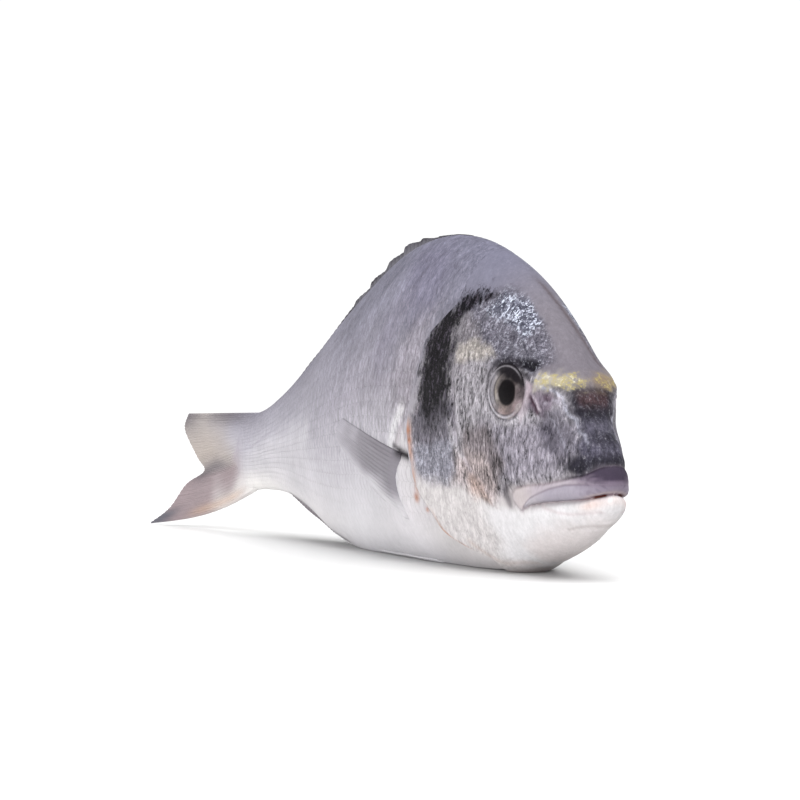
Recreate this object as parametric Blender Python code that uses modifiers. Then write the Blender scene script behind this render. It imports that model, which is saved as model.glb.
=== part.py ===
"""A whole raw gilt-head sea bream, fresh and uncooked.

The fish stands upright on its belly with its head along +X. Its tail is swung a little to its
right, and the tip of the lower tail lobe touches the surface. Body, eyes and fins are one solid.
A place on the fish is given by how far it lies behind the snout along the backbone, how far out
it lies to the side, and how high it is above the surface. Lengths in the tables are millimetres.
"""
import math

import bmesh
import bpy
import numpy as np
from mathutils import Vector

MM = 0.001

# The body: distance behind the snout, height of the back, height of the belly, half width,
# height of the widest level, squareness of the section above that level and below it
STATIONS = {
    "tip of the snout": (0, 24.1, 24.1, 0, 24.1, 2.0, 2.0),
    "front of the lips": (3.6, 37.2, 17.5, 5.9, 25, 2.0, 2.0),
    "dip of the snout": (9, 45.2, 14.0, 8.0, 27, 2.1, 2.0),
    "nostrils": (20, 62.2, 8.3, 13.5, 31, 2.1, 2.1),
    "front of the eyes": (32, 74.5, 4.0, 16.8, 35, 2.0, 2.2),
    "throat": (46, 86.0, 0.2, 19.0, 38, 1.9, 2.3),
    "nape": (62, 94.3, -1.6, 21.6, 40, 1.85, 2.4),
    "gill covers": (80, 100.3, -2.0, 23.7, 42, 1.8, 2.4),
    "deepest part": (100, 102.5, -2.0, 24.6, 43, 1.8, 2.4),
    "middle of the belly": (122, 99.8, -2.0, 23.3, 43, 1.8, 2.3),
    "end of the belly": (145, 91.0, -2.0, 20.9, 41, 1.8, 2.2),
    "vent": (170, 79.0, 1.7, 17.4, 38, 1.8, 2.0),
    "rear of the back": (195, 65.5, 11.0, 12.3, 35, 1.8, 1.9),
    "start of the tail stem": (215, 55.0, 16.3, 8.6, 33, 1.9, 1.9),
    "slimmest part": (233, 48.0, 17.3, 6.2, 31, 2.0, 2.0),
    "root of the tail fin": (250, 45.0, 16.5, 4.4, 30, 2.0, 2.0),
    "end of the flesh": (262, 43.5, 18.0, 1.4, 30, 2.0, 2.0),
}

# How the backbone swings to the right, in radians, over a length behind where the swing starts
SWING_START = 82
SWING_LENGTH = 200
SWING = 0.264
SWING_EASE = 0.094

# Fineness of the faceted body
RINGS = 64
SEGMENTS = 48

# The gill opening, as heights with their distances behind the snout, and the cover's step
GILL_HEIGHTS = (3, 6, 11, 17, 24, 32, 42, 50, 61, 70, 76, 82)
GILL_DISTANCES = (49, 55, 66, 70.5, 76.5, 79, 80.5, 78.5, 76, 73, 67, 62)
GILL_RING = 78
GILL_REACH = 34
COVER_STEP = 1.0
COVER_SLOPE = 16
COVER_TOP = 74

# The brows in front of the eyes, fuller at the sides than in the middle, and the dip under them
BROW_HEIGHT = 55
BROW_RISE = 2.4
BROW_MIDDLE = 0.3
BROW_END = 30
DIP_HEIGHT = 42.5
DIP_DEPTH = 1.0

# The mouth slit and the groove over the upper lip, as distances with their heights
SLIT_DISTANCES = (0, 2, 6, 11, 19, 25, 28)
SLIT_HEIGHTS = (24.1, 23.4, 22.5, 21.9, 21.1, 20.1, 18.8)
LIP_DISTANCES = (0, 2, 7, 14, 18, 23, 26)
LIP_HEIGHTS = (32.4, 31.6, 28.9, 27.4, 26.2, 23.0, 21.0)
LIP_SWELL = 0.9
LOWER_LIP_SWELL = 0.4
LIP_GROOVE = 0.4
SLIT_DEPTH = 0.9
MOUTH_END = 28

# The eyes: distance and height of the middle, half length, half height, half depth, and
# how far the ball is sunk
EYE_PLACE = (35.5, 52.4)
EYE_HALF_LENGTH = 8.0
EYE_HALF_HEIGHT = 9.2
EYE_DEPTH = 3.0
EYE_SUNK = 1.0

# The tail fin: its root, which bows back in the middle, and its forked trailing edge as
# distances and heights from the bottom up; how far the lower lobe sags and splays sideways
TAIL_ROOT_DISTANCE = 244
TAIL_ROOT_BOW = 4
TAIL_ROOT_HEIGHTS = (18.5, 46)
TAIL_EDGE_DISTANCES = (318, 308.5, 300, 284.5, 293, 304, 306)
TAIL_EDGE_HEIGHTS = (0.3, 7, 17, 23, 28.5, 36, 46.3)
TAIL_SAG = 3.0
TAIL_SPLAY = 8.0

# Thickness of the fins at the root and at the edge
TAIL_THICK = (2.8, 0.9)
SPINE_FIN_THICK = (2.2, 0.9)
SOFT_FIN_THICK = (2.0, 1.0)

# The fin along the back: where it starts and ends, and its height over the back along the way
BACK_FIN_DISTANCES = (84, 94, 110, 126, 150, 165, 190, 206, 212)
BACK_FIN_HEIGHTS = (0.2, 0.4, 1.0, 4.2, 4.8, 4.4, 2.6, 1.6, 0.4)
BACK_FIN_SPINES = 11
BACK_FIN_SPINE_END = 168
FIN_SUNK = 4.0

# The fin under the tail stem, hanging below the body
VENT_FIN_DISTANCES = (172, 180, 190, 203, 214)
VENT_FIN_HEIGHTS = (0.3, 2.2, 2.6, 2.2, 0.4)

# Side fins: root and tip lines as distances and heights, and how far each stands off the flank
SIDE_FIN_ROOT = ((86, 34), (90.5, 24), (88, 13))
SIDE_FIN_TIP = ((146, 47.5), (134, 37), (101, 19))
SIDE_FIN_STANDS = (-0.6, 2.2)

# Belly fins, folded back along the lower edge of the belly
BELLY_FIN_ROOT = ((88, 2.8), (86, 1.8), (85, 0.9))
BELLY_FIN_TIP = ((131, 3.0), (128, 1.9), (122, 1.0))
BELLY_FIN_STANDS = (-0.5, 0.5)


def clear_scene():
    for old in list(bpy.data.objects):
        bpy.data.objects.remove(old, do_unlink=True)


def new_collection(name):
    collection = bpy.data.collections.new(name)
    bpy.context.scene.collection.children.link(collection)
    return collection


def add_object(name, mesh, collection, material):
    piece = bpy.data.objects.new(name, mesh)
    piece.data.materials.append(material)
    collection.objects.link(piece)
    return piece


def skin_material():
    material = bpy.data.materials.new("silver fish skin")
    material.use_nodes = True
    shader = material.node_tree.nodes["Principled BSDF"]
    shader.inputs["Base Color"].default_value = (0.42, 0.41, 0.46, 1)
    shader.inputs["Roughness"].default_value = 0.38
    shader.inputs["Metallic"].default_value = 0.1
    return material


# Curves through the named sizes

def smooth_through(places, values, at):
    """Read a smooth curve through the values, with no corner at any of them."""
    places = np.asarray(places, float)
    values = np.asarray(values, float)
    slopes = np.gradient(values, places)
    first = np.clip(np.searchsorted(places, at) - 1, 0, len(places) - 2)
    span = places[first + 1] - places[first]
    t = (at - places[first]) / span
    rise = 3 * t**2 - 2 * t**3
    bend_in = (t**3 - 2 * t**2 + t) * span * slopes[first]
    bend_out = (t**3 - t**2) * span * slopes[first + 1]
    return (1 - rise) * values[first] + rise * values[first + 1] + bend_in + bend_out


def smooth_step(low, high, at):
    t = np.clip((at - low) / (high - low), 0, 1)
    return t * t * (3 - 2 * t)


def bump(at, centre, width):
    return np.exp(-((at - centre) / width) ** 2)


# The body's surface

def section(distance):
    """Give the back, belly, half width, widest level and two squarenesses at a distance."""
    table = np.array(list(STATIONS.values()))
    blunt = np.sqrt(table[:, 0])
    return [smooth_through(blunt, column, np.sqrt(distance)) for column in table[:, 1:].T]


def surface(distance, angle):
    """Give how far out and how high the skin lies, at an angle round the section."""
    back, belly, half_width, widest, above, below = section(distance)
    out = np.cos(angle)
    up = np.sin(angle)
    power = 2 / np.where(up >= 0, above, below)
    reach = np.where(up >= 0, back - widest, widest - belly)
    side = half_width * np.sign(out) * np.abs(out) ** power
    height = widest + reach * np.sign(up) * np.abs(up) ** power
    return side, height


def flank(distance, height):
    """Give how far out the skin lies at a distance and a height."""
    back, belly, half_width, widest, above, below = section(distance)
    reach = np.where(height >= widest, back - widest, widest - belly)
    power = np.where(height >= widest, above, below)
    level = np.clip(np.abs(height - widest) / reach, 0, 0.999)
    return half_width * (1 - level**power) ** (1 / power)


def gill_line(height):
    return smooth_through(GILL_HEIGHTS, GILL_DISTANCES, np.clip(height, 3, 82))


def ring_distance(ring, angle):
    """Bend the rings near the gill opening so that one of them follows its edge."""
    height = surface(np.full_like(angle, GILL_RING), angle)[1]
    pull = bump(ring, GILL_RING, GILL_REACH) * smooth_step(0, 20, ring)
    return ring + (gill_line(height) - GILL_RING) * pull


def relief(ring, distance, side, height):
    """Give how far the skin stands out from the plain body: lips, gill covers and brows."""
    slit = np.interp(distance, SLIT_DISTANCES, SLIT_HEIGHTS)
    lip_top = np.interp(distance, LIP_DISTANCES, LIP_HEIGHTS)
    fade = 1 - smooth_step(MOUTH_END - 5, MOUTH_END, distance)
    middle = (slit + lip_top) / 2
    upper_lip = LIP_SWELL * bump(height, middle, (lip_top - slit) / 2)
    groove = LIP_GROOVE * bump(height, lip_top + 1.0, 1.2)
    lower_lip = LOWER_LIP_SWELL * bump(height, slit - 3.0, 2.0)
    mouth = fade * (upper_lip + lower_lip - groove - SLIT_DEPTH * bump(height, slit, 0.9))
    face = 1 - smooth_step(BROW_END - 14, BROW_END, distance)
    beside = np.abs(side) / np.maximum(section(distance)[2], 1)
    face = face * (BROW_MIDDLE + (1 - BROW_MIDDLE) * smooth_step(0.2, 0.75, beside))
    brow = face * (BROW_RISE * bump(height, BROW_HEIGHT, 6) - DIP_DEPTH * bump(height, DIP_HEIGHT, 5))
    cover = np.where(ring < GILL_RING,
                     smooth_step(GILL_RING - COVER_SLOPE, GILL_RING, ring),
                     -0.5 * np.exp(-(ring - GILL_RING) / 5))
    shown = 1 - smooth_step(COVER_TOP - 14, COVER_TOP + 2, height)
    return mouth + brow + COVER_STEP * cover * shown


# The backbone's swing

def swing(distance):
    t = np.clip((distance - SWING_START) / SWING_LENGTH, 0, None)
    return SWING * t - SWING_EASE * t * t


def backbone(distance):
    """Give the place and the heading of the backbone, seen from above."""
    steps = np.arange(0, 330.0)
    middles = swing(steps[:-1] + 0.5)
    along = np.concatenate(([0], -np.cumsum(np.cos(middles))))
    across = np.concatenate(([0], -np.cumsum(np.sin(middles))))
    return np.interp(distance, steps, along), np.interp(distance, steps, across), swing(distance)


def on_fish(distance, side, height):
    """Turn a place on the fish into a point in metres, with nothing under the surface."""
    along, across, turn = backbone(distance)
    x = along - side * np.sin(turn)
    y = across + side * np.cos(turn)
    return np.stack([x, y, np.maximum(height, 0)], axis=-1) * MM


# The pieces

def ring_places():
    """Space the rings closer at the blunt snout, with two of them at the gill cover's step."""
    last = math.sqrt(STATIONS["end of the flesh"][0])
    places = np.linspace(0, last, RINGS + 1) ** 2
    nearest = int(np.argmin(np.abs(places - GILL_RING)))
    places[nearest] = GILL_RING - 0.5
    places[nearest + 1] = GILL_RING + 0.6
    return places


def make_body(collection, material):
    """Move each point of a ball, whose poles are the snout and the tail, onto the skin."""
    form = bmesh.new()
    bmesh.ops.create_uvsphere(form, u_segments=SEGMENTS, v_segments=RINGS, radius=1)
    ball = np.array([point.co for point in form.verts])
    ring_number = np.rint(np.arccos(np.clip(ball[:, 2], -1, 1)) / math.pi * RINGS).astype(int)
    ring = ring_places()[ring_number]
    angle = np.arctan2(ball[:, 1], ball[:, 0])
    distance = ring_distance(ring, angle)
    side, height = surface(distance, angle)
    for point, place in zip(form.verts, on_fish(distance, side, height)):
        point.co = place
    if form.calc_volume(signed=True) < 0:
        bmesh.ops.reverse_faces(form, faces=form.faces)
    form.normal_update()
    rise = relief(ring, distance, side, height) * MM
    for point, lift in zip(form.verts, rise):
        point.co += point.normal * lift
        point.co.z = max(point.co.z, 0)
    mesh = bpy.data.meshes.new("body")
    form.to_mesh(mesh)
    form.free()
    return add_object("body", mesh, collection, material)


def make_eye(side_sign, collection, material):
    distance, height = EYE_PLACE
    here = np.array([distance, distance + 1, distance])
    level = np.array([height, height, height + 1])
    points = on_fish(here, side_sign * flank(here, level), level)
    centre, behind, over = [Vector(point) for point in points]
    outward = (behind - centre).cross(over - centre).normalized()
    if outward.y * side_sign < 0:
        outward.negate()
    length = (behind - centre).normalized()
    tall = outward.cross(length).normalized()
    form = bmesh.new()
    bmesh.ops.create_uvsphere(form, u_segments=20, v_segments=12, radius=1)
    for point in form.verts:
        ball = length * (point.co.x * EYE_HALF_LENGTH) + tall * (point.co.y * EYE_HALF_HEIGHT)
        ball += outward * (point.co.z * EYE_DEPTH - EYE_SUNK)
        point.co = centre + ball * MM
    name = "right eye" if side_sign < 0 else "left eye"
    mesh = bpy.data.meshes.new(name)
    form.to_mesh(mesh)
    form.free()
    return add_object(name, mesh, collection, material)


def make_fin(name, place, lengthwise, across, thick, collection, material):
    """Bend a flat grid into a fin and give it thickness, thinner from its root to its edge.

    place takes how far along the fin from root to edge, and how far across it, both 0 to 1.
    """
    form = bmesh.new()
    bmesh.ops.create_grid(form, x_segments=lengthwise, y_segments=across, size=0.5)
    flat = np.array([point.co for point in form.verts]) + 0.5
    for point, spot in zip(form.verts, place(flat[:, 0], flat[:, 1])):
        point.co = spot
    mesh = bpy.data.meshes.new(name)
    form.to_mesh(mesh)
    form.free()
    fin = add_object(name, mesh, collection, material)
    taper = fin.vertex_groups.new(name="taper")
    for index, root_to_edge in enumerate(flat[:, 0]):
        taper.add([index], 1 - float(root_to_edge), "REPLACE")
    shell = fin.modifiers.new("thickness", "SOLIDIFY")
    shell.thickness = thick[0] * MM
    shell.offset = 0
    shell.vertex_group = "taper"
    shell.thickness_vertex_group = thick[1] / thick[0]
    return fin


def tail_fin(root_to_edge, bottom_to_top):
    spots = np.linspace(0, 1, len(TAIL_EDGE_HEIGHTS))
    root_distance = TAIL_ROOT_DISTANCE - TAIL_ROOT_BOW * (2 * bottom_to_top - 1) ** 2
    root_height = np.interp(bottom_to_top, (0, 1), TAIL_ROOT_HEIGHTS)
    edge_distance = smooth_through(spots, TAIL_EDGE_DISTANCES, bottom_to_top)
    edge_height = smooth_through(spots, TAIL_EDGE_HEIGHTS, bottom_to_top)
    distance = root_distance + (edge_distance - root_distance) * root_to_edge
    height = root_height + (edge_height - root_height) * root_to_edge
    lower_lobe = np.clip(1 - 2 * bottom_to_top, 0, 1) ** 2
    sag = TAIL_SAG * np.sin(math.pi * root_to_edge) * (1 - bottom_to_top) ** 2
    splay = -TAIL_SPLAY * lower_lobe * root_to_edge ** 3
    return on_fish(distance, splay, np.maximum(height - sag, 0.3))


def back_fin(root_to_edge, front_to_rear):
    start, end = BACK_FIN_DISTANCES[0], BACK_FIN_DISTANCES[-1]
    distance = start + (end - start) * front_to_rear
    spine = (distance - start) / (BACK_FIN_SPINE_END - start) * BACK_FIN_SPINES
    notch = np.where(distance < BACK_FIN_SPINE_END, 0.7 + 0.3 * (spine % 1), 0.85)
    height = smooth_through(BACK_FIN_DISTANCES, BACK_FIN_HEIGHTS, distance) * notch
    return on_fish(distance, 0, section(distance)[0] - FIN_SUNK + (height + FIN_SUNK) * root_to_edge)


def vent_fin(root_to_edge, front_to_rear):
    start, end = VENT_FIN_DISTANCES[0], VENT_FIN_DISTANCES[-1]
    distance = start + (end - start) * front_to_rear
    height = smooth_through(VENT_FIN_DISTANCES, VENT_FIN_HEIGHTS, distance)
    return on_fish(distance, 0, section(distance)[1] + FIN_SUNK - (height + FIN_SUNK) * root_to_edge)


def flank_fin(side_sign, root, tip, stands):
    """Make the rule of a fin that lies along the flank, between a root line and a tip line."""
    def place(root_to_edge, top_to_bottom):
        spots = np.linspace(0, 1, len(root))
        ends = []
        for line in (root, tip):
            distances, heights = zip(*line)
            ends.append((smooth_through(spots, distances, top_to_bottom),
                         smooth_through(spots, heights, top_to_bottom)))
        distance = ends[0][0] + (ends[1][0] - ends[0][0]) * root_to_edge
        height = ends[0][1] + (ends[1][1] - ends[0][1]) * root_to_edge
        out = stands[0] + (stands[1] - stands[0]) * root_to_edge
        return on_fish(distance, side_sign * (flank(distance, height) + out), height)
    return place


def join_pieces(body, others, collection):
    """Fuse every other piece into the body and drop the loose ones."""
    union = body.modifiers.new("fuse", "BOOLEAN")
    union.operation = "UNION"
    union.operand_type = "COLLECTION"
    union.collection = others
    view = bpy.context.evaluated_depsgraph_get()
    mesh = bpy.data.meshes.new_from_object(body.evaluated_get(view))
    material = body.data.materials[0]
    for loose in list(others.objects) + [body]:
        bpy.data.objects.remove(loose, do_unlink=True)
    bpy.data.collections.remove(others)
    form = bmesh.new()
    form.from_mesh(mesh)
    bmesh.ops.triangulate(form, faces=form.faces)
    lows = [min(point.co[axis] for point in form.verts) for axis in range(3)]
    highs = [max(point.co[axis] for point in form.verts) for axis in range(3)]
    middle = Vector(((lows[0] + highs[0]) / 2, (lows[1] + highs[1]) / 2, lows[2]))
    bmesh.ops.translate(form, verts=form.verts, vec=-middle)
    form.to_mesh(mesh)
    form.free()
    mesh.name = "whole_fish"
    mesh.materials.clear()
    whole = add_object("whole_fish", mesh, collection, material)
    mesh.shade_smooth()
    mesh.set_sharp_from_angle(angle=math.radians(40))
    return whole, middle


def make_fish():
    clear_scene()
    fish = new_collection("whole raw sea bream")
    fused = new_collection("pieces to fuse")
    skin = skin_material()
    body = make_body(fish, skin)
    make_fin("tail fin", tail_fin, 9, 18, TAIL_THICK, fused, skin)
    make_fin("back fin", back_fin, 2, 44, SPINE_FIN_THICK, fused, skin)
    make_fin("vent fin", vent_fin, 2, 12, SOFT_FIN_THICK, fused, skin)
    for side_sign, side_name in ((-1, "right"), (1, "left")):
        make_eye(side_sign, fused, skin)
        breast = flank_fin(side_sign, SIDE_FIN_ROOT, SIDE_FIN_TIP, SIDE_FIN_STANDS)
        make_fin(side_name + " breast fin", breast, 10, 9, SOFT_FIN_THICK, fused, skin)
        belly = flank_fin(side_sign, BELLY_FIN_ROOT, BELLY_FIN_TIP, BELLY_FIN_STANDS)
        make_fin(side_name + " belly fin", belly, 9, 4, SOFT_FIN_THICK, fused, skin)
    return join_pieces(body, fused, fish)


make_fish()
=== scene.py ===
"""The looks of a whole raw gilt-head sea bream that stands on its belly.

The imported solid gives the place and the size. The skin, the eyes and the fins here follow the
same named sizes, with many more points, and carry the lips, the gill covers, the scales, the
fin rays and the colours. A place on the fish is given by how far it lies behind the snout along
the backbone, how far out it lies to the side, and how high it is. Tables are in millimetres, and
colours are how a part of the skin looks in soft white light, from 0 to 255.
"""
import math

import bpy
import numpy as np
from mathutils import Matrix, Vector


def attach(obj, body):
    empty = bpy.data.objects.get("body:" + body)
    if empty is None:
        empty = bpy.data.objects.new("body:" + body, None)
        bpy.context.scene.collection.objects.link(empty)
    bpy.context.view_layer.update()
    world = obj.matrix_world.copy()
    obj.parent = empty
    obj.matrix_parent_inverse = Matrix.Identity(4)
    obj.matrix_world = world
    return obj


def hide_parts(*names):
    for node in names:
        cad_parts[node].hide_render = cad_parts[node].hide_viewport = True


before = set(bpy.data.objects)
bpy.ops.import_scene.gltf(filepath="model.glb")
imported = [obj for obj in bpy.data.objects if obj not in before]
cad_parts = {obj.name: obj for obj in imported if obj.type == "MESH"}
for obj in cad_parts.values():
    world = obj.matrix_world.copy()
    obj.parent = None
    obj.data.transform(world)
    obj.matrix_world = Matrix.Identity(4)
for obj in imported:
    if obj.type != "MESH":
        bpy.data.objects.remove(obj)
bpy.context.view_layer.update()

MM = 0.001

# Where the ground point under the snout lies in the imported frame
SNOUT_PLACE = np.array([0.157146, 0.004706, 0])

# The body: distance behind the snout, height of the back, height of the belly, half width,
# height of the widest level, squareness of the section above that level and below it
STATIONS = {
    "tip of the snout": (0, 24.1, 24.1, 0, 24.1, 2.0, 2.0),
    "front of the lips": (3.6, 37.2, 17.5, 5.9, 25, 2.0, 2.0),
    "dip of the snout": (9, 45.2, 14.0, 8.0, 27, 2.1, 2.0),
    "nostrils": (20, 62.2, 8.3, 13.5, 31, 2.1, 2.1),
    "front of the eyes": (32, 74.5, 4.0, 16.8, 35, 2.0, 2.2),
    "throat": (46, 86.0, 0.2, 19.0, 38, 1.9, 2.3),
    "nape": (62, 94.3, -1.6, 21.6, 40, 1.85, 2.4),
    "gill covers": (80, 100.3, -2.0, 23.7, 42, 1.8, 2.4),
    "deepest part": (100, 102.5, -2.0, 24.6, 43, 1.8, 2.4),
    "middle of the belly": (122, 99.8, -2.0, 23.3, 43, 1.8, 2.3),
    "end of the belly": (145, 91.0, -2.0, 20.9, 41, 1.8, 2.2),
    "vent": (170, 79.0, 1.7, 17.4, 38, 1.8, 2.0),
    "rear of the back": (195, 65.5, 11.0, 12.3, 35, 1.8, 1.9),
    "start of the tail stem": (215, 55.0, 16.3, 8.6, 33, 1.9, 1.9),
    "slimmest part": (233, 48.0, 17.3, 6.2, 31, 2.0, 2.0),
    "root of the tail fin": (250, 45.0, 16.5, 4.4, 30, 2.0, 2.0),
    "end of the flesh": (262, 43.5, 18.0, 1.4, 30, 2.0, 2.0),
}
FLESH_END = 262
THINNING_DISTANCES = (222, 232, 242, 250, 257, 262)
THINNINGS = (1, 0.9, 0.68, 0.44, 0.31, 0.34)

# How the backbone swings to the right, in radians, over a length behind where the swing starts
SWING_START = 82
SWING_LENGTH = 200
SWING = 0.264
SWING_EASE = 0.094

# Fineness of the skin: rings on the head and on the trunk, points round each ring
HEAD_RINGS = 224
TRUNK_RINGS = 244
SEGMENTS = 384
EVEN_SECTION = 55

# The gill opening, as heights with their distances behind the snout, and the cover's step
GILL_HEIGHTS = (3, 6, 11, 17, 24, 32, 42, 50, 61, 70, 76, 82)
GILL_DISTANCES = (49, 55, 66, 70.5, 76.5, 79, 80.5, 78.5, 76, 73, 67, 62)
GILL_RING = 78
GILL_REACH = 34
COVER_STEP = 1.0
COVER_SLOPE = 16
COVER_TOP = 74

# How the cover's edge rolls under and comes back as the skin behind it: the ring where the
# edge is rolled, the ring where it has faded out over the nape, and the height over the body
COVER_ROLL = (
    (78.35, 78.2, 0.85),
    (78.5, 78.4, 0.45),
    (78.3, 78.6, 0.05),
    (77.6, 78.8, -0.25),
    (76.4, 79.0, -0.5),
    (75.2, 79.2, -0.75),
    (75.4, 79.4, -1.05),
    (76.8, 79.6, -1.0),
    (78.2, 79.9, -0.85),
    (79.4, 80.2, -0.7),
    (80.4, 80.6, -0.55),
)
TRUNK_START = 81.2
GROOVE_DEPTH = 0.9
GROOVE_LENGTH = 4

# The brows in front of the eyes, fuller at the sides than in the middle, and the dip under them
BROW_HEIGHT = 55
BROW_RISE = 2.4
BROW_MIDDLE = 0.3
BROW_END = 30
DIP_HEIGHT = 42.5
DIP_DEPTH = 1.0

# The mouth: the slit, the seam over the lip and the fold where the snout's skin begins, as
# distances with their heights
SLIT_DISTANCES = (0, 2, 6, 11, 19, 25, 28)
SLIT_HEIGHTS = (24.1, 23.4, 22.5, 21.9, 21.1, 20.1, 18.8)
SEAM_DISTANCES = (0, 3, 7, 11.5, 16, 19.5, 23, 25.5, 28)
SEAM_HEIGHTS = (26.6, 26.7, 26.7, 26.5, 25.4, 24.1, 22.8, 21.1, 18.8)
FOLD_DISTANCES = (0, 2.2, 4.4, 6.9, 10.2, 14, 18, 24, 29.3, 31)
FOLD_HEIGHTS = (32.6, 31.6, 30.2, 28.9, 28.3, 27.4, 26.5, 25.9, 25.2, 23.5)
LIP_DISTANCES = (0, 2, 7, 14, 18, 23, 26)
LIP_HEIGHTS = (32.4, 31.6, 28.9, 27.4, 26.2, 23.0, 21.0)
LIP_SWELL = 0.9
LOWER_LIP_SWELL = 0.4
LIP_GROOVE = 0.4
SLIT_DEPTH = 0.9
MOUTH_END = 28
LIP_FLATTENS = 0.8
CHIN_SWELL = 0.8
JAW_END = ((26.8, 25.6), (29.2, 24.9), (30.6, 23.4), (30.6, 21.6), (29.4, 19.9), (27.6, 18.6))

# The eyes: distance and height of the middle, half length and half height
EYE_PLACE = (34.2, 52.1)
EYE_HALF_LENGTH = 7.5
EYE_HALF_HEIGHT = 7.9
EYE_LEAN = 0.22
PUPIL_PLACE = (32.9, 51.8)
PUPIL_WIDENS = 1.12
EYE_RINGS = 64
EYE_SEGMENTS = 96
SOCKET_DEPTH = 2.4

# How high the eye stands over the skin, from its middle out to its rim
EYE_REACHES = (0, 0.3, 0.6, 0.76, 0.84, 0.89, 0.94, 0.985, 1.03, 1.06)
EYE_RISES = (0.7, 0.64, 0.46, 0.3, 0.2, 0.22, 0.26, 0.12, -0.3, -1.2)

# Dark creases and pits on the head: points as distances and heights, half width and depth
HEAD_CREASES = {
    "crease over the eye": (((40, 58.8), (37, 60), (33, 60.2), (28.6, 59.4), (26, 58)), 0.7, 0.9),
    "nostril": (((24.3, 50.4), (23, 48.6), (21.6, 46.2)), 0.5, 0.7),
    "front nostril": (((19.4, 50.2), (18.2, 49.2)), 0.5, 0.5),
    "end of the upper jaw": (JAW_END, 0.7, 0.3),
    "lower lip": (((6, 19.4), (11.5, 18.6), (15.5, 19), (20, 20.4)), 0.6, 0.12),
    "chin wrinkle": (((7.4, 16), (9.6, 15.6), (14.7, 14.3)), 0.6, 0.1),
    "throat fold": (((30, 9.6), (38, 8.2), (47, 9.6), (54, 13)), 1.4, 0.2),
    "cheek edge": (((63, 70.6), (60.4, 61.6), (57.7, 50), (56.4, 41), (54.6, 36.8), (49, 29.6),
                    (40.3, 24.2)), 1.0, 0.35),
    "cover crease": (((58.5, 58), (66, 47), (78, 44)), 1.2, 0.2),
}

# Raised lines on the head: points, half width and height
HEAD_RIDGES = {
    "snout line": (((21.5, 54), (15.4, 50.5), (11.2, 44.2), (8.6, 40.5), (6.7, 37.5)), 0.45, 0.28),
    "branch of the snout line": (((19.2, 49.6), (16.6, 51), (14.6, 49)), 0.4, 0.2),
    "second branch": (((19.2, 46.9), (13.8, 38.6), (11.5, 34.6)), 0.45, 0.14),
    "cheek plate": (((60, 61.6), (55.5, 50), (53.4, 41), (47, 31)), 1.8, 0.25),
}

# The scales: rows from the back to the belly on each side, length of a scale along the body
SCALE_ROWS = 25
SCALE_DISTANCES = (0, 60, 110, 160, 210, 262)
SCALE_LENGTHS = (2.2, 2.4, 2.8, 2.6, 2.0, 1.6)
SCALE_HEIGHT = 0.11
SCALE_BOW = 0.42

# The tail fin: its root, which bows back in the middle, and its forked trailing edge as
# distances and heights from the bottom up; how far the lower lobe sags and splays sideways
TAIL_ROOT_DISTANCE = 240
TAIL_ROOT_BOW = 4
TAIL_ROOT_HEIGHTS = (18.5, 46.6)
TAIL_EDGE_DISTANCES = (318, 308.5, 299, 285, 291, 301.5, 298.5)
TAIL_EDGE_HEIGHTS = (0.3, 7, 17, 23, 28.5, 39.5, 46.3)
TAIL_SAG = 3.0
TAIL_SPLAY = 8.0

# The fin along the back: where it starts and ends, and its height over the back along the way
BACK_FIN_DISTANCES = (84, 94, 110, 126, 150, 165, 190, 206, 212)
BACK_FIN_HEIGHTS = (0.2, 0.3, 1.2, 4.2, 4.8, 4.4, 2.6, 1.6, 0.4)
BACK_FIN_SPINES = 7
BACK_FIN_SPINE_END = 168
FIN_SUNK = 4.0

# The fin under the tail stem, hanging below the body
VENT_FIN_DISTANCES = (172, 180, 190, 203, 214)
VENT_FIN_HEIGHTS = (0.3, 2.2, 2.6, 2.2, 0.4)

# Side fins: root and tip lines as distances and heights, and how far each stands off the flank
SIDE_FIN_ROOT = ((86, 34), (90.5, 24), (88, 13))
SIDE_FIN_TIP = ((134, 44.6), (135, 37), (101, 19))
SIDE_FIN_STANDS = (-0.8, 0.5, 1.1)

# Belly fins, folded back along the lower edge of the belly
BELLY_FIN_ROOT = ((88, 1.0), (86, 0.7), (85, 0.4))
BELLY_FIN_TIP = ((131, 1.1), (128, 0.8), (122, 0.5))
BELLY_FIN_STANDS = (-0.5, -0.1, 0.1)
FIN_ROOT = 0.1

# How much brighter the studio is than plain white, which the skin's own colours make up for
STUDIO = 1.3
WORLD_HORIZON = 1.06
WORLD_ZENITH = 0.28
OVERHEAD = 4.6
OVERHEAD_WAY = (-0.4, -0.12, -1)
OVERHEAD_ANGLE = 64
FLOOR_SHADE = 0.68

# Colours of the plain skin from the belly to the back, at distances behind the snout
SKIN_LEVELS = (0.0, 0.12, 0.3, 0.55, 0.8, 1.0)
SKIN_TONES = {
    0: ((210, 200, 198), (212, 207, 208), (192, 185, 190), (92, 86, 96), (100, 94, 101), (104, 98, 105)),
    30: ((208, 199, 197), (212, 208, 210), (176, 169, 170), (130, 126, 132), (110, 105, 113), (117, 112, 120)),
    60: ((194, 190, 192), (200, 196, 196), (170, 164, 166), (132, 128, 134), (122, 120, 133), (117, 116, 133)),
    90: ((198, 196, 200), (206, 203, 206), (187, 184, 190), (146, 142, 151), (131, 129, 143), (121, 120, 137)),
    130: ((202, 200, 204), (209, 207, 210), (189, 186, 192), (152, 148, 158), (126, 124, 137), (108, 107, 123)),
    180: ((210, 208, 210), (216, 213, 215), (190, 187, 192), (164, 161, 170), (140, 137, 148), (116, 114, 128)),
    235: ((231, 228, 225), (231, 228, 226), (196, 193, 198), (180, 177, 186), (160, 157, 167), (128, 125, 136)),
    262: ((200, 194, 195), (204, 199, 201), (190, 186, 192), (178, 175, 184), (164, 161, 171), (130, 127, 136)),
}

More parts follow.
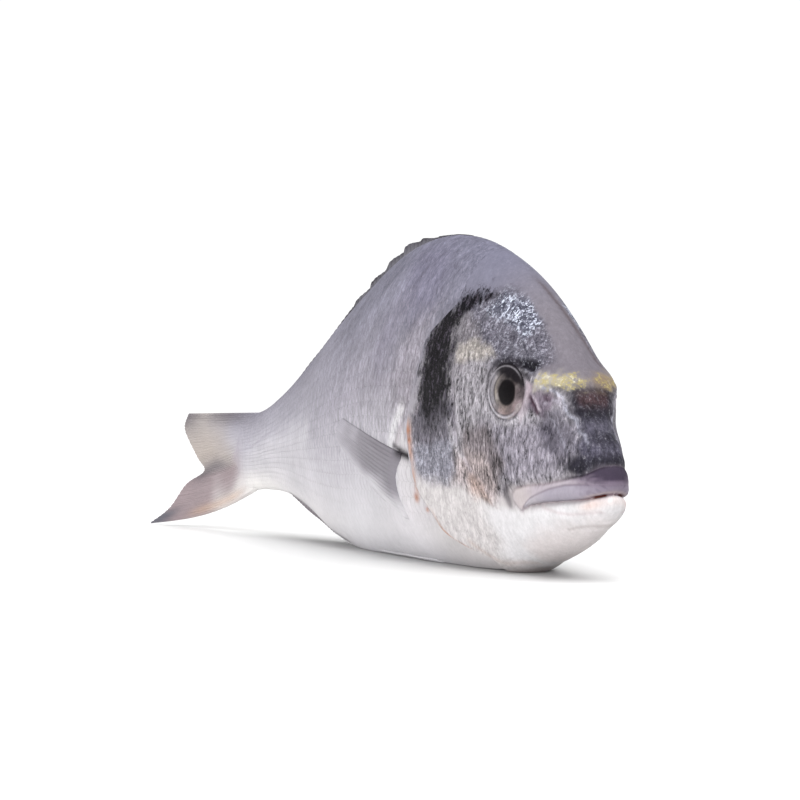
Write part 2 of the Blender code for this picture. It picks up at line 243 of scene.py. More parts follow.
# Coloured areas on the head: outline, softness of its edge, colour, strength, how streaked
# and how speckled it is
HEAD_AREAS = {
    "cheek": (((64, 78), (52, 68), (40, 61), (24, 57), (13, 50), (5, 36), (5, 31), (14, 27.6), (30, 25.5),
               (33, 23), (45, 22), (58, 25), (74, 26), (79, 34), (79, 42), (75, 52), (74, 72)),
              2.0, (147, 143, 149), 1.0, 0.95, 0.0),
    "under the eye": (((44, 44), (28, 42), (18, 45), (9, 35), (12, 30), (30, 27), (40, 30), (50, 38)),
                      3.0, (124, 119, 130), 0.8, 0.9, 0.0),
    "low cheek": (((52, 42), (40, 43), (33, 32), (35, 24), (45, 22), (53, 30)),
                  2.5, (99, 91, 93), 0.85, 1.1, 0.0),
    "mask": (((60, 77.5), (47, 82.5), (35.8, 78.5), (28.8, 71), (24, 66), (22, 60), (25, 57.5), (38, 60.5),
              (44, 61), (52, 67), (55, 73)), 2.6, (108, 105, 116), 1.0, 0.4, 0.9),
    "front of the mask": (((47, 81), (36, 77.5), (30, 71.5), (33, 68), (42, 73), (50, 76)),
                          1.8, (116, 118, 134), 0.7, 0.2, 0.8),
    "above the eye": (((42, 62), (36, 66), (27, 64), (24, 59), (33, 61)), 1.5, (106, 104, 114), 0.8, 0.2, 0.8),
    "behind the mask": (((60, 76), (53, 73), (47, 64), (56, 58), (61, 62)), 1.5, (128, 123, 129), 0.9, 0.7, 0.35),
    "snout": (((22, 54), (16, 51.5), (12, 45), (9.6, 40), (9, 35), (12, 30.5), (7, 29), (0, 32.5), (-3, 36),
               (0, 44), (6, 50), (10, 53)), 1.5, (42, 40, 48), 1.0, 0.6, 0.2),
    "side of the snout": (((20, 47), (14, 48), (10, 40), (11, 34), (17, 36), (21, 41)),
                          2.0, (84, 80, 92), 0.7, 0.6, 0.1),
    "pale patch": (((60, 66), (52, 67.5), (44, 65), (42, 62), (50, 61), (59, 61.5)),
                   1.4, (170, 163, 157), 0.85, 0.6, 0.4),
    "low blotch": (((57, 50), (56, 42), (58, 36), (70, 34), (77.5, 38), (77.5, 45), (74, 50)),
                   2.4, (88, 84, 94), 0.85, 1.0, 0.1),
    "blue patch": (((56, 38), (55, 30), (60, 25), (72, 24.5), (77, 30), (77.5, 36), (66, 37)),
                   1.8, (135, 134, 145), 0.9, 0.5, 0.6),
    "pink patch": (((56, 36), (42, 34), (37, 26), (38, 20), (48, 21), (58, 26)),
                   2.5, (166, 153, 152), 0.65, 1.1, 0.0),
    "orange patch": (((49, 28), (43, 25), (41, 21), (47, 21), (51, 24)), 1.8, (190, 156, 136), 0.35, 0.9, 0.0),
    "jaw": (((-2, 23), (6, 22), (19, 20.6), (28, 18.4), (33, 19), (45, 20), (58, 22.5), (72, 23), (75, 18),
             (66, 11), (50, 1), (36, -3), (0, -3)), 1.8, (213, 211, 213), 1.0, 0.12, 0.0),
    "throat": (((46, 22), (58, 25), (76, 26), (80, 18), (70, 6), (56, 0), (44, 2), (42, 12)),
               4.0, (196, 191, 191), 0.9, 0.3, 0.0),
    "chin": (((-2, 19), (8, 17), (24, 13), (34, 8), (30, -3), (0, -3)), 3.0, (204, 195, 194), 0.7, 0.08, 0.0),
    "in front of the eye": (((27.6, 56), (24.4, 53), (24.5, 47), (28, 43.5)), 1.0, (164, 150, 158), 0.85, 0.15, 0.0),
    "round the nostril": (((25, 53), (18, 52), (16.5, 48.5), (20, 45), (24.5, 47)),
                          1.2, (104, 92, 106), 0.8, 0.4, 0.0),
}

# Half the width of the smooth forehead between the masks
FOREHEAD_HALF = 5.6

# A thin dark brown line painted along the left side of the forehead only, where it turns away: painted shade, as
# distances and how far out it runs
RIM_DISTANCES = (19, 20, 23, 27, 31, 36, 41, 46)
RIM_SIDES = (6.6, 5.6, 5.0, 4.1, 3.2, 2.3, 1.0, 0)

# The dark blotch in front of the gill opening, and its colour
BLOTCH = ((49.5, 80), (57.5, 76), (61.8, 71), (61.3, 64), (60.5, 56), (59.5, 47), (60.5, 38.5), (69, 37),
          (75.5, 41), (75.5, 50), (76, 60), (76.3, 69), (72, 76.5), (64, 82), (55, 83.5))
BLOTCH_SOFT = 6.5
BLOTCH_COLOUR = (6, 5, 8)

# Coloured lines on the head: points, half width, colour and strength
HEAD_LINES = {
    "snout line": (((21.5, 53), (18, 51.8), (15.6, 50), (13.6, 46), (11.2, 44.2), (9.8, 41), (8.4, 40.2), (6.7, 37.5)),
                   0.38, (176, 176, 190), 0.55),
    "branch of the snout line": (((19.2, 48.6), (17, 49.4), (14.8, 48)), 0.4, (180, 176, 188), 0.45),
    "second branch": (((17, 44.6), (13.8, 39.6), (11.5, 35.6)), 0.4, (140, 138, 150), 0.4),
    "pale spot of the snout": (((9, 42.6), (6.6, 42.4)), 2.0, (104, 101, 116), 0.55),
    "low pale spot of the snout": (((8.4, 37), (4.4, 36)), 2.4, (92, 89, 104), 0.7),
    "dark spots of the snout": (((18.6, 41.8), (17.4, 41)), 1.1, (46, 43, 52), 0.7),
    "dark spot by the lip": (((12.6, 33), (10, 32.6)), 1.3, (46, 43, 54), 0.6),
    # Painted shadow of the lid: the crease over the eye and its dark corner
    "crease over the eye": (((38.6, 59.6), (36, 60.2), (32.6, 60.2), (28.4, 59.4), (26.2, 58.4)),
                            1.05, (26, 24, 30), 1.0),
    "dark corner of the eye": (((31.6, 60.1), (28.2, 59.9), (25.2, 59.2)), 1.5, (22, 20, 26), 0.95),
    "thin crease behind the eye": (((43, 55), (42, 58), (39.6, 60.4), (36, 61.6)), 0.5, (70, 66, 72), 0.6),
    "shade over the eye": (((30, 57.6), (27.4, 56.4), (26.2, 55.4)), 0.8, (44, 40, 46), 0.75),
    "glint over the eye": (((31, 58.3), (29.4, 58), (27.6, 57.4)), 0.35, (190, 186, 192), 0.6),
    "nostril": (((24.3, 50.4), (23, 48.6), (21.6, 46.2)), 0.6, (66, 44, 56), 0.85),
    "skin flap of the nostril": (((23, 50.6), (21.4, 48.2), (20.6, 46.6)), 0.35, (188, 176, 186), 0.6),
    "front nostril": (((19.4, 50.2), (18.2, 49.2)), 0.7, (80, 60, 74), 0.6),
    # Painted shade in the corner of the mouth
    "shade in the corner of the mouth": (((32.4, 25.5), (32.6, 23), (32, 20.6)), 1.3, (78, 72, 78), 0.7),
    "end of the upper jaw": (JAW_END, 0.45, (120, 108, 112), 0.4),
    "lower lip": (((3, 19.6), (11.5, 18.6), (15.5, 19), (20, 20.4)), 0.5, (196, 184, 186), 0.6),
    "throat fold": (((36, 3.4), (46, 3.4), (56, 9)), 0.7, (188, 168, 158), 0.35),
    # Brown skin under the throat, darkened further as a painted contact shadow where it rests on the floor
    "brown and shaded underside of the throat": (((40, -0.4), (50, -1), (60, -1.4)), 2.4, (104, 82, 78), 0.9),
    "chin wrinkle": (((5, 16.2), (9.6, 15.4), (14.7, 14.1)), 0.4, (170, 162, 160), 0.5),
    "cheek edge": (((63, 70.6), (60.4, 61.6), (57.7, 50), (56.4, 41), (54.6, 36.8), (49, 29.6)),
                   0.8, (124, 118, 126), 0.5),
    "rear of the cheek": (((59, 44), (57.5, 38), (53, 33.5)), 0.9, (196, 192, 198), 0.45),
    "scratch on the blotch": (((71, 56), (73.4, 50), (75.6, 46)), 0.4, (190, 178, 190), 0.45),
}

# The golden band across the forehead: height, half height, where it ends behind the snout,
# and the gap in it at the middle
BAND_HEIGHT = 54.2
BAND_HALF = 1.9
BAND_END = 24.6
BAND_GAP = 1.3
BAND_COLOUR = (166, 153, 92)
BAND_PALE = (172, 166, 157)

# Coloured areas and lines on the trunk
TRUNK_AREAS = {
    "shoulder": (((76, 78), (84, 76), (95, 60), (92, 44), (80, 40), (76, 60)), 5.0, (146, 140, 148), 0.5, 0.6, 0.0),
    "behind the gill cover": (((76, 38), (80, 44), (90, 38), (91, 28), (88, 14), (78, 12), (70, 14), (74, 30)),
                              2.5, (203, 199, 202), 0.8, 0.1, 0.0),
    "light flank": (((170, 44), (200, 40), (235, 34), (245, 26), (220, 18), (190, 14), (165, 20)),
                    6.0, (200, 197, 202), 0.5, 0.1, 0.0),
    "violet shade of the nape": (((78, 78), (76, 90), (86, 98), (104, 100), (100, 86), (88, 74)),
                                 6.0, (108, 104, 124), 0.5, 0.3, 0.0),
    "violet shade of the shoulder": (((92, 84), (104, 82), (112, 66), (104, 56), (96, 66)),
                                     6.0, (126, 121, 137), 0.4, 0.3, 0.0),
}
TRUNK_LINES = {
    # A painted highlight on the skin just behind the gill cover
    "painted highlight on the shoulder": (((93, 35.6), (92, 39.6), (89.6, 43.6), (86.4, 47.4)), 2.0, (224, 222, 224), 0.65),
    "shade of the shoulder": (((90, 36.4), (88, 39.4), (86, 42.6)), 1.2, (156, 146, 150), 0.45),
    # Folds behind the gill cover, painted as dark lines: painted shade where the skin folds
    "fold of the shoulder": (((84, 38), (84.6, 46), (82.6, 54), (82.6, 62)), 0.6, (112, 104, 112), 0.45),
    "second fold": (((88.6, 50), (87.4, 58), (87.6, 66), (86, 74)), 0.6, (112, 106, 116), 0.4),
    "third fold": (((95, 52), (94, 60), (92, 68)), 0.5, (120, 114, 124), 0.3),
    "dark spot of the breast fin": (((82.4, 33.0), (87.2, 34.2)), 1.5, (22, 17, 22), 1.0),
    "tail of the dark spot": (((87, 34.6), (91, 36.2)), 0.9, (40, 34, 40), 0.8),
    "line of the side": (((70, 79), (90, 80), (120, 75), (150, 64), (180, 52), (210, 41), (240, 33), (260, 31)),
                         0.55, (120, 116, 130), 0.16),
    "shade under the belly": (((157, 2.2), (170, 5), (183, 9.2), (196, 13.6), (209, 16.6)), 0.9, (92, 84, 90), 0.6),
}
GILL_COLOUR = (174, 136, 117)
GILL_REDNESS = ((80, 43.5), (78.8, 37), (77.8, 31), (78.3, 25.5), (80, 20))
GILL_SPOTS = (((79.7, 41), 1.4), ((79.1, 38), 1.0), ((78.3, 25.6), 1.0), ((79.9, 20.6), 1.3), ((75, 17), 0.8))
SPOT_COLOUR = (156, 100, 70)

# The eye from the middle of the pupil outwards: reach in millimetres and colour
IRIS_REACHES = (0, 3.2, 3.6, 4.0, 4.5, 5.0, 5.6, 6.3, 7.2, 9.5)
IRIS_COLOURS = ((14, 12, 14), (16, 13, 15), (40, 36, 36), (78, 72, 70), (98, 92, 90), (84, 79, 79),
                (96, 91, 93), (112, 107, 112), (126, 122, 128), (130, 126, 132))
# The eye's pale rim, which also carries a painted highlight, and the shade at its edge
RIM_COLOUR_AND_HIGHLIGHT = (170, 166, 173)
RIM_SHADE = (60, 56, 62)

# Colours of the fins
TAIL_UPPER = (167, 160, 158)
TAIL_LOWER = (148, 134, 137)
TAIL_DARK = (96, 90, 98)
TAIL_TIP = (102, 100, 108)
TAIL_ORANGE = (194, 164, 142)
TAIL_WARM = (172, 160, 150)
BREAST_FIN_TONE = (133, 129, 136)
BACK_FIN_TONE = (96, 94, 102)
PALE_FIN_TONE = (184, 180, 184)

# The camera, at the photograph's viewing angle
CAMERA_PLACE = (0.570646, -0.249894, 0.0453)
CAMERA_HEADING = 2.7097
CAMERA_RISE = 0.0088
CAMERA_LENS = 81
SENSOR = 36


# Curves through the named sizes

def smooth_through(places, values, at):
    """Read a smooth curve through the values, with no corner at any of them."""
    places = np.asarray(places, float)
    values = np.asarray(values, float)
    slopes = np.gradient(values, places)
    first = np.clip(np.searchsorted(places, at) - 1, 0, len(places) - 2)
    span = places[first + 1] - places[first]
    t = (at - places[first]) / span
    rise = 3 * t**2 - 2 * t**3
    bend_in = (t**3 - 2 * t**2 + t) * span * slopes[first]
    bend_out = (t**3 - t**2) * span * slopes[first + 1]
    return (1 - rise) * values[first] + rise * values[first + 1] + bend_in + bend_out


def smooth_step(low, high, at):
    t = np.clip((at - low) / (high - low), 0, 1)
    return t * t * (3 - 2 * t)


def bump(at, centre, width):
    return np.exp(-((at - centre) / width) ** 2)


def waves(seed, size, *places):
    """Give a gentle uneven pattern between -1 and 1, with swells of about the given size."""
    chance = np.random.default_rng(seed)
    total = np.zeros_like(places[0])
    count = 10
    for _ in range(count):
        heading = chance.normal(size=len(places))
        heading *= chance.uniform(0.6, 1.6) / np.linalg.norm(heading) * 2 * math.pi / size / 2
        phase = chance.uniform(0, 2 * math.pi)
        total += np.sin(sum(way * place for way, place in zip(heading, places)) + phase)
    return total / math.sqrt(count) / 1.4


# The body's surface

def section(distance):
    """Give the back, belly, half width, widest level and two squarenesses at a distance."""
    table = np.array(list(STATIONS.values()))
    blunt = np.sqrt(table[:, 0])
    return [smooth_through(blunt, column, np.sqrt(distance)) for column in table[:, 1:].T]


def surface(distance, angle):
    """Give how far out and how high the skin lies, at an angle round the section."""
    back, belly, half_width, widest, above, below = section(distance)
    out = np.cos(angle)
    up = np.sin(angle)
    power = 2 / np.where(up >= 0, above, below)
    reach = np.where(up >= 0, back - widest, widest - belly)
    side = half_width * np.sign(out) * np.abs(out) ** power
    height = widest + reach * np.sign(up) * np.abs(up) ** power
    return side, height


def flank(distance, height):
    """Give how far out the skin lies at a distance and a height."""
    back, belly, half_width, widest, above, below = section(distance)
    reach = np.where(height >= widest, back - widest, widest - belly)
    power = np.where(height >= widest, above, below)
    level = np.clip(np.abs(height - widest) / reach, 0, 0.999)
    return half_width * (1 - level**power) ** (1 / power)


def gill_line(height):
    return smooth_through(GILL_HEIGHTS, GILL_DISTANCES, np.clip(height, 3, 82))


def ring_distance(ring, angle):
    """Bend the rings near the gill opening so that one of them follows its edge."""
    height = surface(np.full_like(angle, GILL_RING), angle)[1]
    pull = bump(ring, GILL_RING, GILL_REACH) * smooth_step(0, 20, ring)
    return ring + (gill_line(height) - GILL_RING) * pull


def line_gap(points, distance, height):
    """Give how far each place lies from a line through the points."""
    here = np.stack([distance, height], axis=-1)
    nearest = np.full(distance.shape, np.inf)
    for start, end in zip(np.array(points[:-1], float), np.array(points[1:], float)):
        run = end - start
        t = np.clip((here - start) @ run / (run @ run), 0, 1)
        gap = np.linalg.norm(here - start - t[..., None] * run, axis=-1)
        nearest = np.minimum(nearest, gap)
    return nearest


def inside_outline(corners, soft, distance, height):
    """Give 1 inside the outline and 0 outside it, with a soft edge."""
    closed = list(corners) + [corners[0]]
    inside = np.zeros(distance.shape, bool)
    for start, end in zip(closed[:-1], closed[1:]):
        if start[1] == end[1]:
            continue
        across = (start[1] > height) != (end[1] > height)
        meets = start[0] + (height - start[1]) * (end[0] - start[0]) / (end[1] - start[1])
        inside ^= across & (distance < meets)
    gap = line_gap(closed, distance, height)
    return 1 - smooth_step(-soft, soft, np.where(inside, -gap, gap))


def mouth_and_brow(distance, side, height):
    """Give the main relief of the face, which the solid has too."""
    slit = np.interp(distance, SLIT_DISTANCES, SLIT_HEIGHTS)
    lip_top = np.interp(distance, LIP_DISTANCES, LIP_HEIGHTS)
    fade = 1 - smooth_step(MOUTH_END - 5, MOUTH_END, distance)
    middle = (slit + lip_top) / 2
    upper_lip = LIP_SWELL * smooth_step(-9, 12, distance) * bump(height, middle, (lip_top - slit) / 2)
    groove = LIP_GROOVE * bump(height, lip_top + 1.0, 1.2)
    lower_lip = LOWER_LIP_SWELL * bump(height, slit - 3.0, 2.0)
    mouth = fade * (upper_lip + lower_lip - groove - SLIT_DEPTH * bump(height, slit, 0.9))
    face = 1 - smooth_step(BROW_END - 14, BROW_END, distance)
    beside = np.abs(side) / np.maximum(section(distance)[2], 1)
    face = face * (BROW_MIDDLE + (1 - BROW_MIDDLE) * smooth_step(0.2, 0.75, beside))
    brow = face * (BROW_RISE * bump(height, BROW_HEIGHT, 6) - DIP_DEPTH * bump(height, DIP_HEIGHT, 5))
    return mouth + brow


def eye_reach(distance, height):
    over = height - EYE_PLACE[1]
    return np.hypot((distance - EYE_PLACE[0] - EYE_LEAN * over) / EYE_HALF_LENGTH, over / EYE_HALF_HEIGHT)


def face_detail(distance, height):
    """Give the fine relief of the head: seams of the lips, creases, lines and eye sockets."""
    slit = np.interp(distance, SLIT_DISTANCES, SLIT_HEIGHTS)
    seam = np.interp(distance, SEAM_DISTANCES, SEAM_HEIGHTS)
    fold = np.interp(distance, FOLD_DISTANCES, FOLD_HEIGHTS)
    in_mouth = 1 - smooth_step(MOUTH_END - 2, MOUTH_END + 0.5, distance)
    over_lip = 1 - smooth_step(24, 30, distance)
    front = 1 - smooth_step(2, 9, distance)
    rise = -1.0 * bump(height, slit, 0.42) * in_mouth * (1 - 0.5 * front)
    rise -= 0.28 * bump(height, seam, 0.4) * in_mouth * smooth_step(3, 8, distance)
    rise += 0.2 * bump(height, (slit + seam) / 2, 1.0) * in_mouth * (1 - front)
    rise += 0.2 * bump(height, (seam + fold) / 2, 0.9) * over_lip * smooth_step(8, 14, distance)
    rise -= 0.3 * bump(height, fold, 0.5) * over_lip * smooth_step(2, 7, distance)
    rise -= LIP_FLATTENS * bump(height, 25, 6) * front
    rise += CHIN_SWELL * bump(height, 15, 4) * (1 - smooth_step(4, 14, distance))
    for points, width, depth in HEAD_CREASES.values():
        rise -= depth * np.exp(-(line_gap(points, distance, height) / width) ** 2)
    for points, width, lift in HEAD_RIDGES.values():
        rise += lift * np.exp(-(line_gap(points, distance, height) / width) ** 2)
    eye = eye_reach(distance, height)
    rise -= SOCKET_DEPTH * (1 - smooth_step(0.88, 1.0, eye))
    rise += 0.25 * bump(eye, 1.1, 0.08) - 0.15 * bump(eye, 1.24, 0.08)
    return rise


def scale_place(distance, round_side):
    """Give each place's position in the rows of scales, along the body and down the side."""
    steps = np.arange(0, FLESH_END + 1.0)
    pitch = np.interp(steps, SCALE_DISTANCES, SCALE_LENGTHS)
    count = np.concatenate(([0], np.cumsum(1 / pitch[:-1])))
    return np.interp(distance, steps, count), round_side * SCALE_ROWS


def scale_relief(along, down):
    """Give how far a scale stands up: each rises to its rounded rear edge, over the next."""
    across = down % 1
    shifted = along + 0.5 * (np.floor(down) % 2) + SCALE_BOW * (2 * across - 1) ** 2
    rise = shifted % 1
    return np.where(rise < 0.86, rise / 0.86, (1 - rise) / 0.14) * (1 - 0.5 * (2 * across - 1) ** 4)


# The backbone's swing

def swing(distance):
    t = np.clip((distance - SWING_START) / SWING_LENGTH, 0, None)
    return SWING * t - SWING_EASE * t * t


def backbone(distance):
    """Give the place and the heading of the backbone, seen from above."""
    steps = np.arange(0, 330.0)
    middles = swing(steps[:-1] + 0.5)
    along = np.concatenate(([0], -np.cumsum(np.cos(middles))))
    across = np.concatenate(([0], -np.cumsum(np.sin(middles))))
    return np.interp(distance, steps, along), np.interp(distance, steps, across), swing(distance)


def on_fish(distance, side, height):
    """Turn a place on the fish into a point in metres, with nothing under the surface."""
    along, across, turn = backbone(distance)
    x = along - side * np.sin(turn)
    y = across + side * np.cos(turn)
    return np.stack([x, y, np.maximum(height, 0)], axis=-1) * MM + SNOUT_PLACE


def unit(vectors):
    return vectors / np.maximum(np.linalg.norm(vectors, axis=-1, keepdims=True), 1e-12)


# Colours

def linear(colour):
    """Turn a colour as seen, 0 to 255, into the share of the studio's light that it gives back."""
    seen = np.asarray(colour, float) / 255
    return np.where(seen <= 0.04045, seen / 12.92, ((seen + 0.055) / 1.055) ** 2.4) / STUDIO


def blend_in(tone, colour, weight):
    """Lay a colour over the tones where its weight is high."""
    weight = np.asarray(weight)[..., None]
    return tone * (1 - weight) + linear(colour) * weight


def plain_tone(distance, height):
    """Read the skin's plain colour from its distance and its level between belly and back."""
    back, belly = section(distance)[:2]
    level = np.clip((height - belly) / np.maximum(back - belly, 1), 0, 1)
    stops = list(SKIN_TONES)
    rows = []
    for stop in stops:
        colours = linear(SKIN_TONES[stop])
        rows.append(np.stack([np.interp(level, SKIN_LEVELS, colours[:, part]) for part in range(3)], axis=-1))
    tone = rows[0]
    for before, after, row in zip(stops[:-1], stops[1:], rows[1:]):
        tone = tone + (row - tone) * smooth_step(before, after, distance)[..., None]
    return tone


def paint_areas(tone, marks, areas, distance, side, height):
    """Lay coloured areas over the skin and set how streaked and speckled it is there."""
    beside = smooth_step(FOREHEAD_HALF - 1.5, FOREHEAD_HALF + 1, np.abs(side))
    for name, (outline, soft, colour, strength, streaks, speckles) in areas.items():
        weight = strength * inside_outline(outline, soft, distance, height)
        if "mask" in name or "eye" in name:
            weight = weight * beside
        tone = blend_in(tone, colour, weight)
        for number, amount in enumerate((streaks, speckles)):
            marks[..., number] += (amount - marks[..., number]) * weight
    return tone


def paint_lines(tone, lines, distance, height):
    for points, width, colour, strength in lines.values():
        gap = line_gap(points, distance, height)
        tone = blend_in(tone, colour, strength * np.exp(-(gap / width) ** 2))
    return tone


def paint_head(distance, side, height):
    """Give the colour of the head's skin, with marks for streaks, speckles and scales."""
    uneven = waves(3, 5, distance, height)
    ragged = waves(4, 1.6, distance, height)
    near = distance + 0.7 * uneven + 0.35 * ragged
    level = height + 0.7 * waves(5, 5, distance, height) + 0.35 * waves(6, 1.6, distance, height)
    tone = plain_tone(distance, height)
    marks = np.zeros(distance.shape + (3,))
    marks[..., 0] = 0.12
    marks[..., 2] = 0.25 * smooth_step(50, 64, distance) * smooth_step(74, 84, height)
    shades = np.zeros(distance.shape + (3,))
    tone = paint_areas(tone, marks, HEAD_AREAS, near, side + 0.6 * ragged, level)
    tone = paint_band(tone, marks, shades, distance, side, height, ragged)
    tone = paint_mouth(tone, marks, distance, height)
    tone = paint_lines(tone, HEAD_LINES, distance + 0.2 * ragged, height)
    eye = eye_reach(distance, height)
    tone = blend_in(tone, RIM_SHADE, (0.45 + 0.3 * uneven) * bump(eye, 1.04, 0.05))
    tone = blend_in(tone, (170, 165, 172), (0.25 + 0.2 * ragged) * bump(eye, 1.13, 0.05))
    over = (height - EYE_PLACE[1]) / EYE_HALF_HEIGHT
    # Painted shade above the eye, under the brow and the lid
    tone = blend_in(tone, (44, 41, 48), 0.8 * bump(eye, 1.16, 0.14) * smooth_step(0.3, 0.9, over))
    tone = blend_in(tone, (178, 174, 180), 0.45 * bump(eye, 1.16, 0.09) * smooth_step(0.5, 0.95, -over))
    # Painted shade along the left edge of the forehead
    rim = np.interp(distance, RIM_DISTANCES, RIM_SIDES)
    tone = blend_in(tone, (88, 78, 82), 0.75 * bump(side + 0.3 * ragged, rim, 1.0) * smooth_step(57, 60, height)
                    * (1 - smooth_step(40, 48, distance)))
    shades[..., 0] = inside_outline(BLOTCH, BLOTCH_SOFT, near, level) * (0.45 + 0.55 * smooth_step(38, 54, level))
    beside = smooth_step(FOREHEAD_HALF - 1.5, FOREHEAD_HALF + 1, np.abs(side + 0.6 * ragged))
    shades[..., 2] = inside_outline(HEAD_AREAS["front of the mask"][0], 2.5, near, level) * beside
    return paint_gills(tone, distance, height), marks, shades


def paint_band(tone, marks, shades, distance, side, height, ragged):
    """Lay the golden band across the forehead."""
    beside = np.abs(side)
    across = bump(height + 0.9 * ragged, BAND_HEIGHT, BAND_HALF)
    ends = 1 - smooth_step(BAND_END - 1.5, BAND_END, distance)
    gap = 1 - 0.6 * bump(beside, 0, BAND_GAP)
    band = np.clip(1.3 * across, 0, 1) * ends * gap
    far = smooth_step(-3, 2, side)
    tone = blend_in(tone, BAND_PALE, 0.8 * band * (0.3 + 0.7 * smooth_step(3, 8, beside)))
    # The band is painted browner and less golden on the left side: painted shade on the side that turns away
    tone = blend_in(tone, (120, 100, 76), 0.7 * band * far)
    shades[..., 1] = band * (1 - 0.3 * far)
    under = bump(height, BAND_HEIGHT - 4.5, 2) * ends * (1 - smooth_step(3, 6, beside))
    marks[..., 0] *= 1 - band
    return blend_in(tone, (92, 66, 66), 0.45 * under)


def paint_mouth(tone, marks, distance, height):
    """Lay the colours of the lips, their seams and the slit."""
    slit = np.interp(distance, SLIT_DISTANCES, SLIT_HEIGHTS)
    seam = np.interp(distance, SEAM_DISTANCES, SEAM_HEIGHTS)
    fold = np.interp(distance, FOLD_DISTANCES, FOLD_HEIGHTS)
    over_lip = 1 - smooth_step(29.6, 30.8, distance + 0.25 * (height - 22.5) ** 2 * (distance > 24))
    in_mouth = 1 - smooth_step(MOUTH_END - 1, MOUTH_END + 1, distance)
    band = smooth_step(seam - 0.4, seam + 0.4, height) * (1 - smooth_step(fold - 0.4, fold + 0.3, height))
    upper = np.where(height > slit, 1.0, 0.0)
    below_seam = smooth_step(slit - 0.2, slit + 0.5, height) * (1 - smooth_step(seam - 0.3, seam + 0.3, height))
    front = 1 - smooth_step(2.5, 8, distance)
    mottled = waves(41, 6, distance, height)
    line = 1 - 0.8 * smooth_step(8, 16, distance)
    tone = blend_in(tone, (172, 163, 171), 0.9 * band * over_lip * upper)
    tone = blend_in(tone, (186, 177, 178), band * over_lip * smooth_step(20, 27, distance))
    tone = blend_in(tone, (152, 146, 158), 0.9 * below_seam * in_mouth * (1 - 0.4 * smooth_step(16, 22, distance)))
    lip = np.clip(band + below_seam, 0, 1)
    spotted = waves(42, 1.3, distance, height)
    purple = (1 - smooth_step(0.5, 12, distance - (height - seam) + 1.5 * mottled + 0.9 * spotted)) * lip
    purple = purple * (0.6 + 0.4 * smooth_step(-1.5, 1.5, height - seam))
    tone = blend_in(tone, (116, 103, 120), purple)
    tone = blend_in(tone, (48, 42, 56), 0.85 * purple**2 * smooth_step(-1, 2.6, height - seam + 1.2 * spotted))
    grainy = waves(43, 0.9, distance, height)
    tone = blend_in(tone, (70, 60, 76), 0.4 * purple * smooth_step(0, 0.9, grainy))
    # A pale pink rim just above the slit at the front: partly the lip's colour, partly a painted highlight
    tone = blend_in(tone, (184, 168, 166), 0.5 * lip * bump(height, slit + 0.7, 0.5) * (1 - smooth_step(4, 9, distance)))
    # A dark line along the fold over the upper lip, softer further back: painted shade in the fold
    tone = blend_in(tone, (44, 38, 48), 0.85 * line * over_lip * bump(height + 0.3 * mottled, fold, 0.45)
                    * smooth_step(0.3, 2, distance))
    tone = blend_in(tone, (132, 112, 118), 0.4 * (1 - line) * over_lip * bump(height, fold, 0.35))
    tone = blend_in(tone, (104, 90, 104), 0.5 * in_mouth * bump(height, seam, 0.3) * smooth_step(3, 6, distance))
    tone = blend_in(tone, (128, 104, 112), (0.8 - 0.4 * smooth_step(6, 12, distance)) * in_mouth
                    * bump(height, slit, 0.35))
    gape = smooth_step(0.3, 1, distance) * (1 - smooth_step(3, 5, distance)) * bump(height, slit, 0.5)
    tone = blend_in(tone, (66, 16, 14), np.clip(1.2 * gape, 0, 1))
    red = bump(distance, 4.5, 3.5) * bump(height, slit - 1.6, 1.2)
    tone = blend_in(tone, (210, 164, 146), 0.4 * red)
    mouth = np.clip(band * over_lip + below_seam * in_mouth, 0, 1)
    marks[..., 0] *= 1 - 0.5 * mouth
    marks[..., 1] *= 1 - 0.7 * mouth
    return tone


def paint_gills(tone, distance, height):
    """Lay the brown edge of the gill covers and its spots."""
    edge_gap = np.abs(distance - gill_line(height)) + 8 * smooth_step(18, 23, height)
    gap = np.minimum(edge_gap, line_gap(GILL_REDNESS, distance, height))
    shown = smooth_step(2, 8, height)
    uneven = np.clip(0.7 + 0.5 * waves(11, 5, distance, height), 0, 1)
    width = 0.9 + 0.5 * smooth_step(16, 24, height)
    tone = blend_in(tone, GILL_COLOUR, 0.85 * shown * uneven * np.exp(-(gap / width) ** 2))
    for (spot_distance, spot_height), size in GILL_SPOTS:
        gap = np.hypot(distance - spot_distance, height - spot_height)
        tone = blend_in(tone, SPOT_COLOUR, 0.8 * np.exp(-(gap / size) ** 2))
    return tone


def paint_trunk(distance, side, height):
    """Give the colour of the trunk's skin, with marks for streaks, speckles and scales."""
    near = distance + 1.2 * waves(13, 12, distance, height)
    level = height + 1.0 * waves(14, 9, distance, height)
    tone = plain_tone(distance, height)
    marks = np.zeros(distance.shape + (3,))
    marks[..., 0] = 0.06 + 0.26 * smooth_step(18, 45, height) * (1 - 0.7 * smooth_step(120, 200, distance))
    marks[..., 2] = smooth_step(6, 26, height) * (1 - smooth_step(245, 262, distance))
    tone = paint_areas(tone, marks, TRUNK_AREAS, near, side, level)
    cloud = waves(15, 22, distance, height, side)
    drift = waves(16, 5, (distance - height) * 0.18, (distance + height) * 0.9)
    upper = smooth_step(45, 85, height) * (1 - smooth_step(130, 190, distance))
    columns = waves(17, 4, distance, height * 0.15) * smooth_step(25, 45, height) * (1 - smooth_step(110, 160, distance))
    rows = waves(18, 3, height, distance * 0.1) * smooth_step(160, 200, distance)
    tone = tone * (1 + 0.05 * cloud + 0.16 * drift * upper + 0.06 * columns + 0.04 * rows)[..., None]
    tone = paint_lines(tone, TRUNK_LINES, distance, height)
    tone = blend_in(tone, TAIL_LOWER, lobe_shade(distance, height))
    return paint_gills(tone, distance, height), marks, np.zeros_like(marks)


def lobe_shade(distance, height):
    """Give how far the brown of the lower tail lobe has come in over the end of the body."""
    return 0.85 * smooth_step(245, 263, distance) * bump(height, 25, 8)


# Meshes

